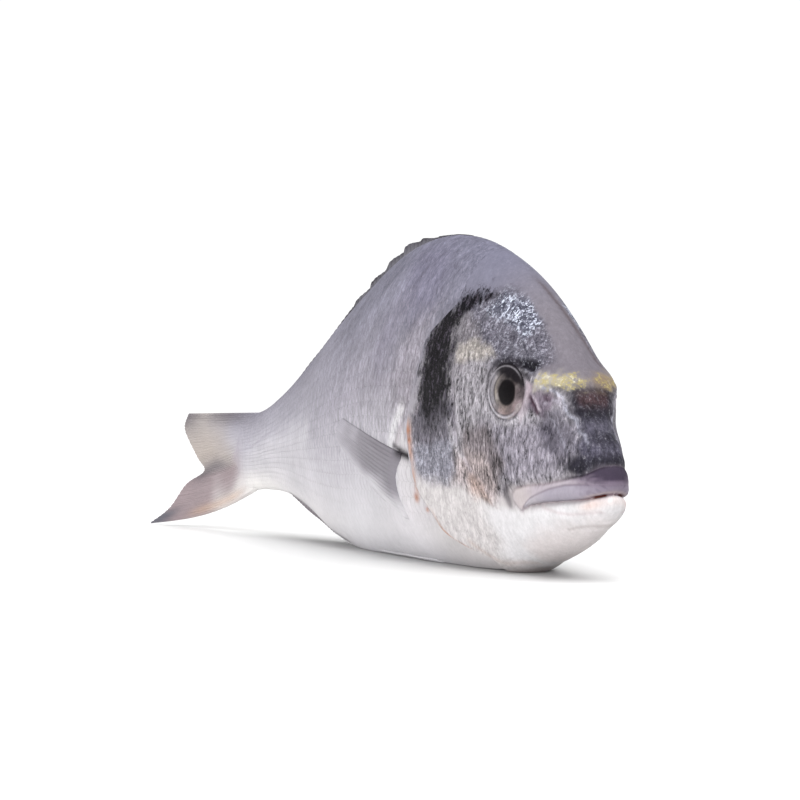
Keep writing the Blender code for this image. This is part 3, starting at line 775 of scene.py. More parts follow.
def add_piece(name, points, faces, material, paints):
    """Make a piece of the fish from points, faces and painted values, and tie it to the frame."""
    mesh = bpy.data.meshes.new(name)
    mesh.from_pydata(points.reshape(-1, 3).tolist(), [], faces)
    kinds = {3: ("FLOAT_VECTOR", "vector"), 4: ("FLOAT_COLOR", "color")}
    for paint_name, values in paints.items():
        kind, key = kinds[values.shape[-1]]
        layer = mesh.attributes.new(paint_name, kind, "POINT")
        layer.data.foreach_set(key, np.ascontiguousarray(values, dtype=np.float32).ravel())
    mesh.materials.append(material)
    mesh.shade_smooth()
    mesh.set_sharp_from_angle(angle=math.radians(55))
    piece = bpy.data.objects.new(name, mesh)
    bpy.context.scene.collection.objects.link(piece)
    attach(piece, "root")
    return piece


def with_alpha(tone):
    return np.concatenate([tone, np.ones(tone.shape[:-1] + (1,))], axis=-1)


def capped_tube(rows, columns):
    """List the faces of a tube of rings whose two ends each close to one more point."""
    faces = []
    for row in range(rows - 1):
        first = row * columns
        for column in range(columns):
            after = (column + 1) % columns
            faces.append((first + column, first + after, first + columns + after, first + columns + column))
    start, end = rows * columns, rows * columns + 1
    last = (rows - 1) * columns
    for column in range(columns):
        after = (column + 1) % columns
        faces.append((start, after, column))
        faces.append((end, last + column, last + after))
    return faces


def skin_angles():
    """Space the points evenly round a section of the head, from the middle of the back."""
    dense = np.linspace(math.pi / 2, math.pi * 2.5, 4001)
    side, height = surface(np.full_like(dense, EVEN_SECTION), dense)
    run = np.concatenate(([0], np.cumsum(np.hypot(np.diff(side), np.diff(height)))))
    wanted = np.linspace(0, run[-1], SEGMENTS, endpoint=False)
    angle = np.interp(wanted, run, dense)
    return (angle + math.pi) % (2 * math.pi) - math.pi


def body_points(ring, angle):
    """Give points on the plain body, the way out from it, and their places on the fish."""
    def point(at_ring, at_angle):
        distance = ring_distance(at_ring, at_angle)
        side, height = surface(np.minimum(distance, FLESH_END), at_angle)
        side = side * np.interp(distance, THINNING_DISTANCES, THINNINGS)
        return on_fish(distance, side, height), distance, side, height
    small = 0.02
    here, distance, side, height = point(ring, angle)
    behind = point(ring + small, angle)[0]
    round_it = point(ring, angle + small)[0]
    before = point(np.maximum(ring - small, 1e-4), angle)[0]
    round_back = point(ring, angle - small)[0]
    out = unit(np.cross(behind - before, round_it - round_back))
    return here, out, distance, side, height


def make_skin(name, ring, angle, lift, paint, material):
    """Build a closed piece of skin from its rings, each point lifted off the plain body."""
    here, out, distance, side, height = body_points(ring, angle)
    index = np.broadcast_to(np.arange(ring.shape[1]) / ring.shape[1], ring.shape)
    round_side = 2 * np.minimum(index, 1 - index)
    along, down = scale_place(distance, round_side)
    tone, marks, shades = paint(distance, side, height)
    rise = lift(distance, side, height) + marks[..., 2] * SCALE_HEIGHT * scale_relief(along, down)
    points = here + out * (rise * MM)[..., None]
    points[..., 2] = np.maximum(points[..., 2], 0)
    rows, columns = ring.shape
    ends = np.stack([points[0].mean(axis=0), points[-1].mean(axis=0)])
    paints = {
        "tone": with_alpha(tone),
        "marks": marks,
        "shades": shades,
        "place": np.stack([distance, side, height], axis=-1),
        "scales": np.stack([along, down, np.zeros_like(along)], axis=-1),
    }
    for key, values in paints.items():
        flat = values.reshape(rows * columns, -1)
        paints[key] = np.concatenate([flat, values[0].mean(axis=0)[None], values[-1].mean(axis=0)[None]])
    all_points = np.concatenate([points.reshape(-1, 3), ends])
    return add_piece(name, all_points, capped_tube(rows, columns), material, paints)


def cover_shown(height):
    return 1 - smooth_step(COVER_TOP - 14, COVER_TOP + 2, height)


def make_head(material):
    angle_row = skin_angles()
    plain = GILL_RING * np.linspace(0, 1, HEAD_RINGS + 1)[1:] ** 1.6
    height_row = surface(np.full_like(angle_row, GILL_RING), angle_row)[1]
    shown = cover_shown(height_row)
    rolled = []
    lifts = []
    for folded, spread, lift in COVER_ROLL:
        rolled.append(spread + (folded - spread) * shown)
        lifts.append(lift * shown)
    end = np.full_like(angle_row, TRUNK_START)
    ring = np.concatenate([np.repeat(plain[:, None], SEGMENTS, axis=1), np.array(rolled), end[None]])
    angle = np.repeat(angle_row[None], len(ring), axis=0)
    cover = COVER_STEP * smooth_step(GILL_RING - COVER_SLOPE, GILL_RING, ring[:HEAD_RINGS]) * shown
    groove = -GROOVE_DEPTH * np.exp(-(TRUNK_START - GILL_RING) / GROOVE_LENGTH) * shown
    step = np.concatenate([cover, np.array(lifts), groove[None]])

    def lift(distance, side, height):
        return mouth_and_brow(distance, side, height) + face_detail(distance, height) + step
    return make_skin("head_skin", ring, angle, lift, paint_head, material)


def make_trunk(material):
    angle_row = skin_angles()
    share = np.linspace(0, 1, TRUNK_RINGS + 1)
    rings = TRUNK_START + (FLESH_END - TRUNK_START) * (0.85 * share + 0.15 * np.sin(share * math.pi / 2))
    ring = np.repeat(rings[:, None], SEGMENTS, axis=1)
    angle = np.repeat(angle_row[None], len(ring), axis=0)

    height_row = surface(np.full_like(angle_row, GILL_RING), angle_row)[1]

    def lift(distance, side, height):
        return -GROOVE_DEPTH * np.exp(-(ring - GILL_RING) / GROOVE_LENGTH) * cover_shown(height_row)
    return make_skin("trunk_skin", ring, angle, lift, paint_trunk, material)


def make_eye(side_sign, material):
    """Build an eye that lies in its socket: pupil, iris and a raised clear rim, closed behind."""
    reach = np.linspace(0, 1, EYE_RINGS + 1)[1:] * EYE_REACHES[-1]
    turn = np.linspace(0, 2 * math.pi, EYE_SEGMENTS, endpoint=False)
    reach, turn = np.meshgrid(reach, turn, indexing="ij")
    over = EYE_HALF_HEIGHT * reach * np.sin(turn)
    height = EYE_PLACE[1] + over
    distance = EYE_PLACE[0] + EYE_HALF_LENGTH * reach * np.cos(turn) + EYE_LEAN * over

    def skin(at_distance, at_height):
        return on_fish(at_distance, side_sign * flank(at_distance, at_height), at_height)
    small = 0.05
    here = skin(distance, height)
    along = skin(distance + small, height) - skin(distance - small, height)
    up = skin(distance, height + small) - skin(distance, height - small)
    out = unit(np.cross(along, up)) * side_sign
    rise = smooth_through(EYE_REACHES, EYE_RISES, reach)
    front = here + out * (rise * MM)[..., None]
    back = here[-1] - out[-1] * 2.6 * MM
    points = np.concatenate([front, back[None]])
    over_pupil = height - PUPIL_PLACE[1]
    from_pupil = np.hypot(PUPIL_WIDENS * (distance - PUPIL_PLACE[0] - EYE_LEAN * over_pupil), over_pupil)
    from_pupil = from_pupil + 0.12 * waves(21, 2.5, distance, height)
    colours = linear(IRIS_COLOURS)
    tone = np.stack([np.interp(from_pupil, IRIS_REACHES, colours[:, part]) for part in range(3)], axis=-1)
    behind = (distance - EYE_PLACE[0]) / EYE_HALF_LENGTH
    over = (height - EYE_PLACE[1]) / EYE_HALF_HEIGHT
    iris = smooth_step(3.4, 4.2, from_pupil)
    tone = blend_in(tone, (160, 150, 140), 0.85 * iris * bump(from_pupil, 5.0, 0.6) * smooth_step(0.1, 0.6, behind))
    tone = blend_in(tone, (50, 46, 47), 0.7 * bump(from_pupil, 5.9, 0.35) * smooth_step(0.0, 0.5, behind + 0.3 * over))
    tone = blend_in(tone, (138, 116, 112), 0.6 * iris * smooth_step(0.3, 0.8, -over) * (1 - smooth_step(0.8, 0.9, reach)))
    tone = blend_in(tone, (138, 122, 126), 0.7 * iris * smooth_step(0.3, 0.8, -behind))
    # The rim is painted pale, brightest at the rear and below: its own colour with a painted highlight
    around = smooth_step(-0.5, 0.9, behind - over)
    tone = blend_in(tone, RIM_COLOUR_AND_HIGHLIGHT, 0.9 * around * bump(reach, 0.92, 0.035))
    tone = blend_in(tone, RIM_SHADE, 0.75 * around * bump(reach, 0.84, 0.03))
    tone = blend_in(tone, (50, 46, 52), smooth_step(0.97, 1.02, reach))
    patches = waves(24, 3.2, distance, height)
    tone = blend_in(tone, (70, 65, 68), 0.55 * iris * smooth_step(0.1, 0.9, patches))
    tone = blend_in(tone, (164, 157, 156), 0.45 * iris * smooth_step(0.2, 0.9, -patches))
    # The top of the eye is painted dark as the lid's shadow, with a softer painted shade over the upper front of the
    # iris
    lid = smooth_step(0.3, 0.62, over - 0.45 * behind + 0.08 * waves(23, 2, distance, height))
    tone = blend_in(tone, (64, 58, 60), 0.7 * smooth_step(0.1, 0.45, over - 0.6 * behind) * (1 - lid) * iris)
    tone = blend_in(tone, (24, 21, 25), 0.97 * lid)
    tone = blend_in(tone, (138, 134, 140), 0.6 * bump(reach, 0.92, 0.03) * smooth_step(0.2, 0.6, over + 0.2 * behind))
    tone = np.concatenate([tone, tone[-1:]])
    rows, columns = points.shape[:2]
    middle = on_fish(*[np.array([value]) for value in (
        EYE_PLACE[0], side_sign * flank(np.array([EYE_PLACE[0]]), np.array([EYE_PLACE[1]]))[0], EYE_PLACE[1])])[0]
    way = unit(out[0].mean(axis=0))
    ends = np.stack([middle + way * EYE_RISES[0] * MM, points[-1].mean(axis=0)])
    flat_tone = np.concatenate([tone.reshape(-1, 3), tone[0].mean(axis=0)[None], tone[-1].mean(axis=0)[None]])
    place = np.stack([distance, height, reach], axis=-1)
    place = np.concatenate([place, place[-1:]]).reshape(-1, 3)
    place = np.concatenate([place, [[EYE_PLACE[0], EYE_PLACE[1], 0], [EYE_PLACE[0], EYE_PLACE[1], 1]]])
    faces = capped_tube(rows, columns)
    if side_sign < 0:
        faces = [face[::-1] for face in faces]
    name = "right_eye" if side_sign < 0 else "left_eye"
    all_points = np.concatenate([points.reshape(-1, 3), ends])
    return add_piece(name, all_points, faces, material, {"tone": with_alpha(flat_tone), "place": place})


# The fins

def tail_fin(root_to_edge, bottom_to_top):
    spots = np.linspace(0, 1, len(TAIL_EDGE_HEIGHTS))
    root_distance = TAIL_ROOT_DISTANCE - TAIL_ROOT_BOW * (2 * bottom_to_top - 1) ** 2
    root_height = np.interp(bottom_to_top, (0, 1), TAIL_ROOT_HEIGHTS)
    edge_distance = smooth_through(spots, TAIL_EDGE_DISTANCES, bottom_to_top)
    edge_height = smooth_through(spots, TAIL_EDGE_HEIGHTS, bottom_to_top)
    distance = root_distance + (edge_distance - root_distance) * root_to_edge
    height = root_height + (edge_height - root_height) * root_to_edge
    lower_lobe = np.clip(1 - 2 * bottom_to_top, 0, 1) ** 2
    sag = TAIL_SAG * np.sin(math.pi * root_to_edge) * (1 - bottom_to_top) ** 2
    splay = -TAIL_SPLAY * lower_lobe * root_to_edge ** 3
    return distance, splay, np.maximum(height - sag, 0.3)


def back_fin(root_to_edge, front_to_rear):
    start, end = BACK_FIN_DISTANCES[0], BACK_FIN_DISTANCES[-1]
    distance = start + (end - start) * front_to_rear
    spine = (distance - start) / (BACK_FIN_SPINE_END - start) * BACK_FIN_SPINES
    lobe = smooth_step(0, 0.75, spine % 1) * (1 - smooth_step(0.86, 1, spine % 1))
    notch = np.where(distance < BACK_FIN_SPINE_END, 0.74 + 0.26 * lobe, 0.85)
    height = smooth_through(BACK_FIN_DISTANCES, BACK_FIN_HEIGHTS, distance) * notch
    return distance, np.zeros_like(distance), section(distance)[0] - FIN_SUNK + (height + FIN_SUNK) * root_to_edge


def vent_fin(root_to_edge, front_to_rear):
    start, end = VENT_FIN_DISTANCES[0], VENT_FIN_DISTANCES[-1]
    distance = start + (end - start) * front_to_rear
    height = smooth_through(VENT_FIN_DISTANCES, VENT_FIN_HEIGHTS, distance)
    return distance, np.zeros_like(distance), section(distance)[1] + FIN_SUNK - (height + FIN_SUNK) * root_to_edge


def flank_fin(side_sign, root, tip, stands):
    """Make the rule of a fin that lies along the flank, between a root line and a tip line."""
    def place(root_to_edge, top_to_bottom):
        spots = np.linspace(0, 1, len(root))
        ends = []
        for line in (root, tip):
            distances, heights = zip(*line)
            ends.append((smooth_through(spots, distances, top_to_bottom),
                         smooth_through(spots, heights, top_to_bottom)))
        distance = ends[0][0] + (ends[1][0] - ends[0][0]) * root_to_edge
        height = ends[0][1] + (ends[1][1] - ends[0][1]) * root_to_edge
        out = np.interp(root_to_edge, (0, FIN_ROOT, 1), stands) * (0.3 + 0.7 * smooth_step(0, 0.25, top_to_bottom))
        return distance, side_sign * (flank(distance, height) + out), height
    return place


def plate_faces(rows, columns):
    """List the faces of a closed thin plate whose points run round it, one side then the other."""
    faces = []
    around = 2 * columns
    for row in range(rows - 1):
        for column in range(around):
            after = (column + 1) % around
            first = row * around
            faces.append((first + column, first + after, first + around + after, first + around + column))
    for row, forwards in ((0, False), (rows - 1, True)):
        first = row * around
        for column in range(columns - 1):
            face = (first + column, first + column + 1, first + around - 2 - column, first + around - 1 - column)
            faces.append(face if forwards else face[::-1])
    return faces


def make_fin(name, place, lengthwise, across, rays, root_half, edge_half, ray_lift, paint, material, ragged=0.0):
    """Build a fin as a thin closed plate with raised rays from its root to its edge."""
    lines, spots = np.meshgrid(np.linspace(0, 1, lengthwise), np.linspace(0, 1, across), indexing="ij")
    ray = spots * rays
    notch = ragged * (1 - np.abs(np.sin(math.pi * ray))) * smooth_step(0.75, 1, lines)
    reach = lines * (1 - notch)
    small = 1e-3

    def point(at_line, at_spot):
        return on_fish(*place(at_line, at_spot))
    here = point(reach, spots)
    along = point(np.minimum(reach + small, 1), spots) - point(np.maximum(reach - small, 0), spots)
    over = point(reach, np.minimum(spots + small, 1)) - point(reach, np.maximum(spots - small, 0))
    out = unit(np.cross(along, over))
    ridge = np.abs(np.sin(math.pi * ray)) ** 0.7
    split = np.abs(np.sin(2 * math.pi * ray)) ** 0.8
    rays_now = ridge + (split - ridge) * smooth_step(0.45, 0.9, lines)
    half = root_half + (edge_half - root_half) * smooth_step(0, 0.7, lines)
    half = half + ray_lift * rays_now * smooth_step(0.02, 0.3, lines)
    half = half * (1 - 0.8 * bump(spots, 0, 0.012)) * (1 - 0.8 * bump(spots, 1, 0.012))
    front = here + out * (half * MM)[..., None]
    back = here - out * (half * MM)[..., None]
    points = np.concatenate([front, back[:, ::-1]], axis=1)
    points[..., 2] = np.maximum(points[..., 2], 0.00005)
    distance, side, height = place(reach, spots)
    tone = paint(lines, spots, distance, height, rays_now)
    tone = np.concatenate([tone, tone[:, ::-1]], axis=1)
    where = np.stack([lines, ray, rays_now], axis=-1)
    where = np.concatenate([where, where[:, ::-1]], axis=1)
    faces = plate_faces(lengthwise, across)
    if signed_volume(points.reshape(-1, 3), faces) < 0:
        faces = [face[::-1] for face in faces]
    return add_piece(name, points, faces, material,
                     {"tone": with_alpha(tone).reshape(-1, 4), "fin_place": where.reshape(-1, 3)})


def signed_volume(points, faces):
    """Give the volume that the faces enclose, below zero where they face inwards."""
    corners = np.array([face[:3] for face in faces] + [(face[0],) + face[2:4] for face in faces if len(face) == 4])
    a, b, c = (points[corners[:, number]] - points[0] for number in range(3))
    return float(np.einsum("ij,ij->i", a, np.cross(b, c)).sum() / 6)


def paint_tail(lines, spots, distance, height, rays):
    """Shade the tail fin: skin at its root, a dark crease in the fork and a dark lower tip."""
    uneven = waves(31, 14, distance, height)
    tone = np.broadcast_to(linear(TAIL_UPPER), lines.shape + (3,))
    tone = blend_in(tone, TAIL_LOWER, 1 - smooth_step(0.35, 0.55, spots))
    tone = blend_in(tone, TAIL_WARM, 0.5 * bump(spots, 0.68, 0.14) * smooth_step(0.35, 0.6, lines))
    root = plain_tone(np.minimum(distance, 250), height)
    still_skin = 1 - smooth_step(0.3, 0.75, lines + 0.12 * uneven + 0.15 * bump(spots, 0.3, 0.2))
    still_skin = still_skin * (1 - lobe_shade(distance, height))
    tone = tone + (root - tone) * still_skin[..., None]
    tone = blend_in(tone, TAIL_DARK, 0.6 * bump(spots + 0.04 * uneven, 0.47, 0.1) * smooth_step(0.4, 0.75, lines))
    tone = blend_in(tone, TAIL_ORANGE, 0.5 * bump(spots, 0.07, 0.06) * smooth_step(0.1, 0.3, lines)
                    * (1 - smooth_step(0.6, 0.8, lines)))
    tone = blend_in(tone, TAIL_DARK, 0.65 * smooth_step(0.8, 0.99, spots) * bump(lines, 0.45, 0.25))
    tone = blend_in(tone, TAIL_DARK, 0.75 * smooth_step(0.72, 1.0, lines) * smooth_step(0.72, 0.98, spots))
    tone = blend_in(tone, TAIL_TIP, smooth_step(0.8, 0.95, lines) * (1 - smooth_step(0.08, 0.2, spots)))
    return tone * (1 - 0.1 * (1 - rays) * smooth_step(0.2, 0.5, lines))[..., None]


def paint_breast_fin(lines, spots, distance, height, rays):
    """Shade the breast fin, which melts into the flank's colour at its lower edge and its tip."""
    skin = plain_tone(distance, height)
    tone = np.broadcast_to(linear(BREAST_FIN_TONE), lines.shape + (3,))
    shown = 1 - smooth_step(0.45, 1, spots + 0.15 * waves(51, 9, distance, height))
    shown = shown * (1 - 0.85 * smooth_step(0.55, 1, lines + 0.1 * waves(53, 7, distance, height)))
    tone = skin + (tone - skin) * shown[..., None]
    tone = blend_in(tone, (112, 106, 114), 0.4 * bump(spots, 0.08, 0.09) * (1 - smooth_step(0.35, 0.75, lines)))
    tone = blend_in(tone, (24, 19, 24), 0.9 * bump(spots, 0.0, 0.09) * (1 - smooth_step(0.03, 0.12, lines)))
    dark = (1 - rays) * (1 - smooth_step(0.3, 0.65, lines)) * smooth_step(0.05, 0.15, lines)
    return tone * (1 - 0.3 * dark * (1 - smooth_step(0.6, 1, spots)))[..., None]


def paint_back_fin(lines, spots, distance, height, rays):
    tone = np.broadcast_to(linear((140, 137, 146)), lines.shape + (3,))
    dark = np.clip(0.65 + 0.5 * waves(52, 9, distance), 0, 1)
    tone = blend_in(tone, BACK_FIN_TONE, smooth_step(0.4, 0.8, lines))
    tone = blend_in(tone, (62, 59, 66), dark * smooth_step(0.8, 0.97, lines))
    return tone * (1 - 0.2 * (1 - rays))[..., None]


def paint_vent_fin(lines, spots, distance, height, rays):
    tone = np.broadcast_to(linear(PALE_FIN_TONE), lines.shape + (3,))
    tone = blend_in(tone, (100, 92, 98), 0.8 * smooth_step(0.6, 0.9, lines))
    return tone * (1 - 0.2 * (1 - rays))[..., None]


def paint_belly_fin(lines, spots, distance, height, rays):
    return plain_tone(distance, height) * (1 - 0.08 * (1 - rays))[..., None]


# Shaders

class Mixed:
    """A socket's value, which sums on values turn into Math nodes."""

    def __init__(self, sheet, socket):
        self.sheet = sheet
        self.socket = socket

    def __add__(self, other):
        return self.sheet.maths("ADD", self, other)

    def __sub__(self, other):
        return self.sheet.maths("SUBTRACT", self, other)

    def __rsub__(self, other):
        return self.sheet.maths("SUBTRACT", other, self)

    def __mul__(self, other):
        return self.sheet.maths("MULTIPLY", self, other)

    def __pow__(self, other):
        return self.sheet.maths("POWER", self, other)

    def __mod__(self, other):
        return self.sheet.maths("FLOORED_MODULO", self, other)

    __radd__ = __add__
    __rmul__ = __mul__


class Sheet:
    """One material's nodes."""

    def __init__(self, name):
        self.material = bpy.data.materials.new(name)
        self.material.use_nodes = True
        self.tree = self.material.node_tree
        self.shader = self.tree.nodes["Principled BSDF"]

    @classmethod
    def for_tree(cls, tree):
        """Add nodes to a tree that is there already."""
        sheet = cls.__new__(cls)
        sheet.tree = tree
        return sheet

    def node(self, kind, settings=None, output=0, **inputs):
        """Add a node, set it up, link or fill its sockets, and give one of its outputs."""
        made = self.tree.nodes.new(kind)
        for key, value in (settings or {}).items():
            setattr(made, key, value)
        for key, value in inputs.items():
            socket = made.inputs[int(key[1:]) if key[1:].isdigit() else key.replace("_", " ")]
            self.fill(socket, value)
        return Mixed(self, made.outputs[output])

    def fill(self, socket, value):
        if isinstance(value, Mixed):
            self.tree.links.new(value.socket, socket)
        else:
            socket.default_value = value

    def maths(self, operation, *values, clamp=False):
        numbered = {"_%d" % number: value for number, value in enumerate(values)}
        return self.node("ShaderNodeMath", {"operation": operation, "use_clamp": clamp}, **numbered)

    def painted(self, name, output="Color"):
        return self.node("ShaderNodeAttribute", {"attribute_name": name}, output)

    def parts(self, vector):
        split = self.node("ShaderNodeSeparateXYZ", Vector=vector).socket.node
        return [Mixed(self, socket) for socket in split.outputs]

    def stretched(self, vector, scale):
        return self.node("ShaderNodeVectorMath", {"operation": "MULTIPLY"}, _0=vector, _1=scale)

    def noise(self, vector, scale, detail=2.0, rough=0.5, bent=0.0):
        return self.node("ShaderNodeTexNoise", Vector=vector, Scale=scale, Detail=detail, Roughness=rough,
                         Distortion=bent)

    def apart(self, value, middle):
        """Give how far a value lies from the middle one, either way."""
        return self.maths("ABSOLUTE", value - middle)

    def between(self, value, low, high):
        """Ease a value from 0 at low to 1 at high."""
        return self.node("ShaderNodeMapRange", {"interpolation_type": "SMOOTHSTEP"}, Value=value,
                         From_Min=low, From_Max=high)

    def scaled(self, colour, factor):
        return self.node("ShaderNodeVectorMath", {"operation": "SCALE"}, _0=colour, Scale=factor)

    def mixed(self, factor, first, second):
        return self.node("ShaderNodeMix", {"data_type": "RGBA"}, 2, _0=factor, _6=first, _7=second)

    def raised(self, height, distance):
        """Turn a pattern of heights into a bumped surface normal."""
        return self.node("ShaderNodeBump", Height=height, Distance=distance, Strength=1.0)

    def finish(self, **sockets):
        for key, value in sockets.items():
            self.fill(self.shader.inputs[key.replace("_", " ")], value)
        return self.material


def rgb(colour):
    return tuple(linear(colour)) + (1,)


def skin_material():
    """Wet silver skin: streaks, speckles, the blotch, the band and scales over painted colours."""
    sheet = Sheet("wet silver skin")
    tone = sheet.painted("tone")
    place = sheet.painted("place", "Vector")
    streaks, speckles, scales = sheet.parts(sheet.painted("marks", "Vector"))
    blotch, gold, flecks = sheet.parts(sheet.painted("shades", "Vector"))
    fine = sheet.noise(sheet.stretched(place, (1.0, 0.9, 0.34)), 1.0, 4.0, 0.7, 0.5)
    dashes = sheet.noise(sheet.stretched(place, (0.42, 0.4, 0.1)), 1.0, 3.0, 0.6, 0.3)
    strands = sheet.noise(sheet.stretched(place, (0.7, 0.7, 0.2)), 1.3, 2.0, 0.5, 0.6)
    grain = sheet.noise(place, 1.25, 3.0, 0.7, 0.4)
    worms = sheet.noise(sheet.stretched(place, (1.0, 0.8, 0.7)), 0.75, 2.0, 0.6, 0.8)
    cloud = sheet.noise(place, 0.16, 3.0, 0.6)
    hairs = 1 - sheet.between(sheet.apart(strands, 0.5), 0.0, 0.045)
    crumbs = 1 - sheet.between(sheet.apart(worms, 0.5), 0.0, 0.05)
    light = (sheet.between(fine, 0.36, 0.66) - 0.46) * 1.0 + (sheet.between(dashes, 0.36, 0.64) - 0.5) * 0.5
    tone = sheet.scaled(tone, 1 + streaks * (light - hairs * 0.42))
    tone = sheet.mixed(sheet.between(fine, 0.6, 0.72) * streaks * 0.35, tone, rgb((226, 222, 226)))
    whorls = sheet.noise(place, 0.42, 4.0, 0.65, 1.4)
    tone = sheet.scaled(tone, 1 + speckles * (sheet.between(whorls, 0.38, 0.64) - 0.5) * 0.7)
    tone = sheet.mixed(sheet.between(grain, 0.5, 0.36) * speckles * 0.7, tone, rgb((36, 35, 44)))
    tone = sheet.mixed(sheet.between(grain * 0.6 + whorls * 0.4, 0.53, 0.64) * speckles * 0.6, tone,
                       rgb((196, 198, 210)))
    tone = sheet.mixed(crumbs * speckles * 0.5, tone, rgb((46, 45, 54)))
    foil = sheet.noise(sheet.stretched(place, (1.5, 1.2, 1.0)), 1.0, 3.0, 0.7, 1.0)
    tone = sheet.mixed(sheet.between(foil + (worms - 0.5) * 0.8, 0.53, 0.64) * flecks, tone, rgb((216, 222, 238)))
    tone = sheet.mixed(sheet.between(worms, 0.5, 0.4) * flecks * 0.7, tone, rgb((48, 48, 60)))
    clumps = sheet.noise(sheet.stretched(place, (0.3, 0.3, 0.14)), 1.0, 3.0, 0.6, 0.8)
    uneven = (fine - 0.5) * 2.2 + (dashes - 0.5) * 2.0 + (grain - 0.5) * 1.2 + (clumps - 0.5) * 2.0
    dark = sheet.between(blotch * 1.8 + uneven, 0.4, 1.5) * sheet.between(blotch, 0.02, 0.5)
    tone = sheet.mixed(dark * 0.97, tone, rgb(BLOTCH_COLOUR))
    tone = sheet.mixed(dark * sheet.between(grain + strands, 1.04, 1.2) * 0.42, tone, rgb((98, 91, 104)))
    on_band = sheet.between(gold, 0.1, 0.5)
    golden = sheet.between(gold + (grain - 0.5) * 4.0 + (whorls - 0.5) * 4.0, 0.3, 1.7)
    tone = sheet.mixed(golden * on_band * 0.7, tone, rgb(BAND_COLOUR))
    glitter = sheet.between(gold + (worms - 0.5) * 2.2 + (grain - 0.5) * 2.5, 1.0, 1.7)
    tone = sheet.mixed(glitter * on_band * 0.65, tone, rgb((216, 213, 196)))
    along, down = sheet.parts(sheet.painted("scales", "Vector"))[:2]
    across = down % 1.0
    middle = across * 2.0 - 1.0
    odd = sheet.between(down % 2.0, 0.999, 1.001)
    shifted = along + odd * 0.5 + middle * middle * SCALE_BOW
    rise = shifted % 1.0
    edge = sheet.between(rise, 0.6, 0.9) * (1 - sheet.between(rise, 0.92, 1.0))
    shade = 1 - scales * edge * 0.14
    tone = sheet.scaled(tone, shade * (0.9 + cloud * 0.2))
    height = grain * 0.3 + fine * 0.6 + scales * rise * 0.8 - hairs * streaks * 0.4
    normal = sheet.raised(height, 0.00022)
    rough = 0.42 + cloud * 0.16 + speckles * 0.05
    return sheet.finish(Base_Color=tone, Roughness=rough, Normal=normal, Metallic=0.0,
                        Specular_IOR_Level=0.02, Coat_Weight=0.015, Coat_Roughness=0.2)


def eye_material():
    """Clear wet eye over a dark pupil and a silvery iris."""
    sheet = Sheet("wet eye")
    tone = sheet.painted("tone")
    place = sheet.painted("place", "Vector")
    flecks = sheet.noise(place, 1.1, 3.0, 0.6, 0.6)
    tone = sheet.scaled(tone, 0.35 + flecks * 1.3)
    return sheet.finish(Base_Color=tone, Roughness=0.4, Metallic=0.0, Specular_IOR_Level=0.02,
                        Coat_Weight=0.04, Coat_Roughness=0.15)


def fin_material():
    """Damp fin skin between bony rays."""
    sheet = Sheet("damp fin")
    tone = sheet.painted("tone")
    place = sheet.painted("fin_place", "Vector")
    strands = sheet.noise(sheet.stretched(place, (3.0, 5.0, 1.0)), 1.0, 3.0, 0.6)
    blotches = sheet.noise(sheet.stretched(place, (6.0, 0.6, 0.0)), 1.0, 2.0)
    tone = sheet.scaled(tone, 0.78 + strands * 0.22 + blotches * 0.22)
    normal = sheet.raised(strands, 0.0002)
    return sheet.finish(Base_Color=tone, Roughness=0.42, Normal=normal, Metallic=0.0,
                        Specular_IOR_Level=0.04)


# The studio

def add_soft_light(name, place, aim, size, power):
    light = bpy.data.lights.new(name, "AREA")
    light.shape = "RECTANGLE"
    light.size, light.size_y = size
    light.energy = power
    lamp = bpy.data.objects.new(name, light)
    lamp.location = place
    lamp.rotation_euler = (Vector(aim) - Vector(place)).to_track_quat("-Z", "Y").to_euler()
    bpy.context.scene.collection.objects.link(lamp)


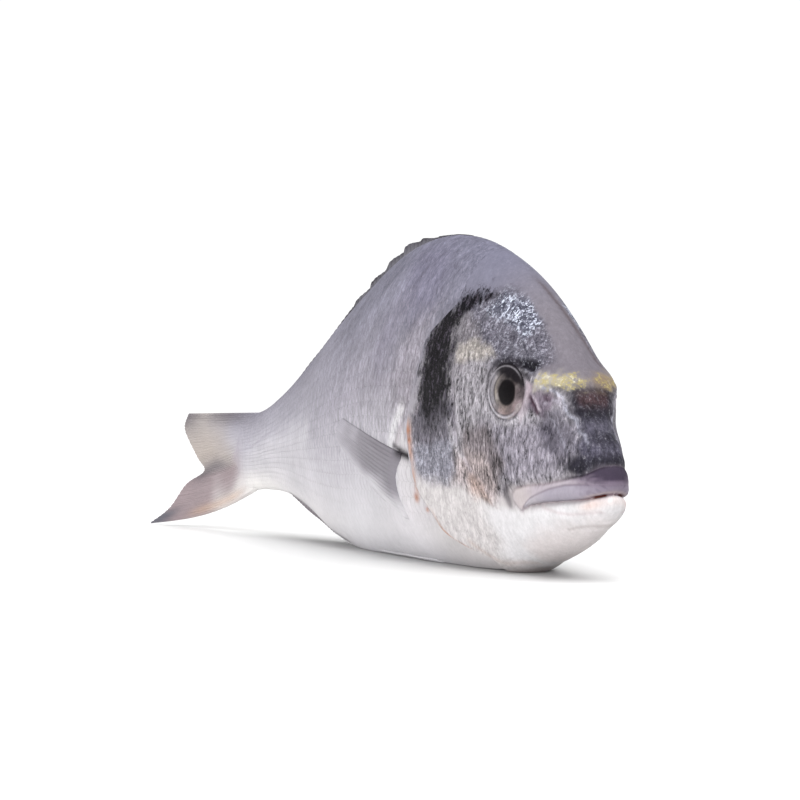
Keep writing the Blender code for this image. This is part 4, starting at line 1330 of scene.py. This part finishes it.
def make_studio():
    """A plain white floor under plain soft light, and the camera."""
    scene = bpy.context.scene
    scene.view_settings.view_transform = "Standard"
    world = bpy.data.worlds.new("soft white studio")
    world.use_nodes = True
    background = world.node_tree.nodes["Background"]
    sky = Sheet.for_tree(world.node_tree)
    heading = sky.node("ShaderNodeTexCoord")
    rise = sky.parts(heading)[2]
    glow = WORLD_HORIZON - sky.between(rise, 0.24, 0.5) * (WORLD_HORIZON - WORLD_ZENITH)
    sky.fill(background.inputs["Strength"], glow)
    background.inputs["Color"].default_value = (1, 1, 1, 1)
    scene.world = world
    sheet = Sheet("white floor")
    paper = sheet.finish(Base_Color=(FLOOR_SHADE, FLOOR_SHADE, FLOOR_SHADE, 1), Roughness=1.0,
                         Specular_IOR_Level=0.0)
    mesh = bpy.data.meshes.new("floor")
    half = 4
    mesh.from_pydata([(-half, -half, 0), (half, -half, 0), (half, half, 0), (-half, half, 0)], [], [(0, 1, 2, 3)])
    mesh.materials.append(paper)
    floor = bpy.data.objects.new("floor", mesh)
    floor.location.z = -0.0001
    scene.collection.objects.link(floor)
    overhead = bpy.data.lights.new("overhead soft light", "SUN")
    overhead.energy = OVERHEAD
    overhead.angle = math.radians(OVERHEAD_ANGLE)
    lamp = bpy.data.objects.new("overhead soft light", overhead)
    lamp.rotation_euler = Vector(OVERHEAD_WAY).to_track_quat("-Z", "Y").to_euler()
    scene.collection.objects.link(lamp)
    add_soft_light("low side light", (0.75, -1.0, 0.07), (0.05, 0, 0.05), (1.4, 0.11), 12)
    add_soft_light("rear side light", (-0.9, -0.9, 0.08), (0, 0, 0.05), (1.0, 0.13), 6)
    lens = bpy.data.cameras.new("camera")
    lens.lens = CAMERA_LENS
    lens.sensor_width = SENSOR
    camera = bpy.data.objects.new("camera", lens)
    camera.location = CAMERA_PLACE
    level = math.cos(CAMERA_RISE)
    way = Vector((math.cos(CAMERA_HEADING) * level, math.sin(CAMERA_HEADING) * level, math.sin(CAMERA_RISE)))
    camera.rotation_euler = way.to_track_quat("-Z", "Y").to_euler()
    scene.collection.objects.link(camera)
    scene.camera = camera


def make_fish():
    skin = skin_material()
    eye = eye_material()
    fin = fin_material()
    head = make_head(skin)
    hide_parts("whole_fish")
    make_trunk(skin)
    make_eye(-1, eye)
    make_eye(1, eye)
    make_fin("tail_fin", tail_fin, 90, 241, 34, 1.2, 0.2, 0.16, paint_tail, fin, ragged=0.006)
    make_fin("back_fin", back_fin, 14, 521, 24, 0.9, 0.3, 0.25, paint_back_fin, fin)
    make_fin("vent_fin", vent_fin, 14, 141, 11, 0.8, 0.3, 0.2, paint_vent_fin, fin)
    for side_sign, side_name in ((-1, "right"), (1, "left")):
        breast = flank_fin(side_sign, SIDE_FIN_ROOT, SIDE_FIN_TIP, SIDE_FIN_STANDS)
        make_fin(side_name + "_breast_fin", breast, 90, 121, 15, 0.5, 0.12, 0.08, paint_breast_fin, fin, ragged=0.02)
        belly = flank_fin(side_sign, BELLY_FIN_ROOT, BELLY_FIN_TIP, BELLY_FIN_STANDS)
        make_fin(side_name + "_belly_fin", belly, 60, 49, 6, 0.5, 0.12, 0.08, paint_belly_fin, fin, ragged=0.03)


make_studio()
make_fish()
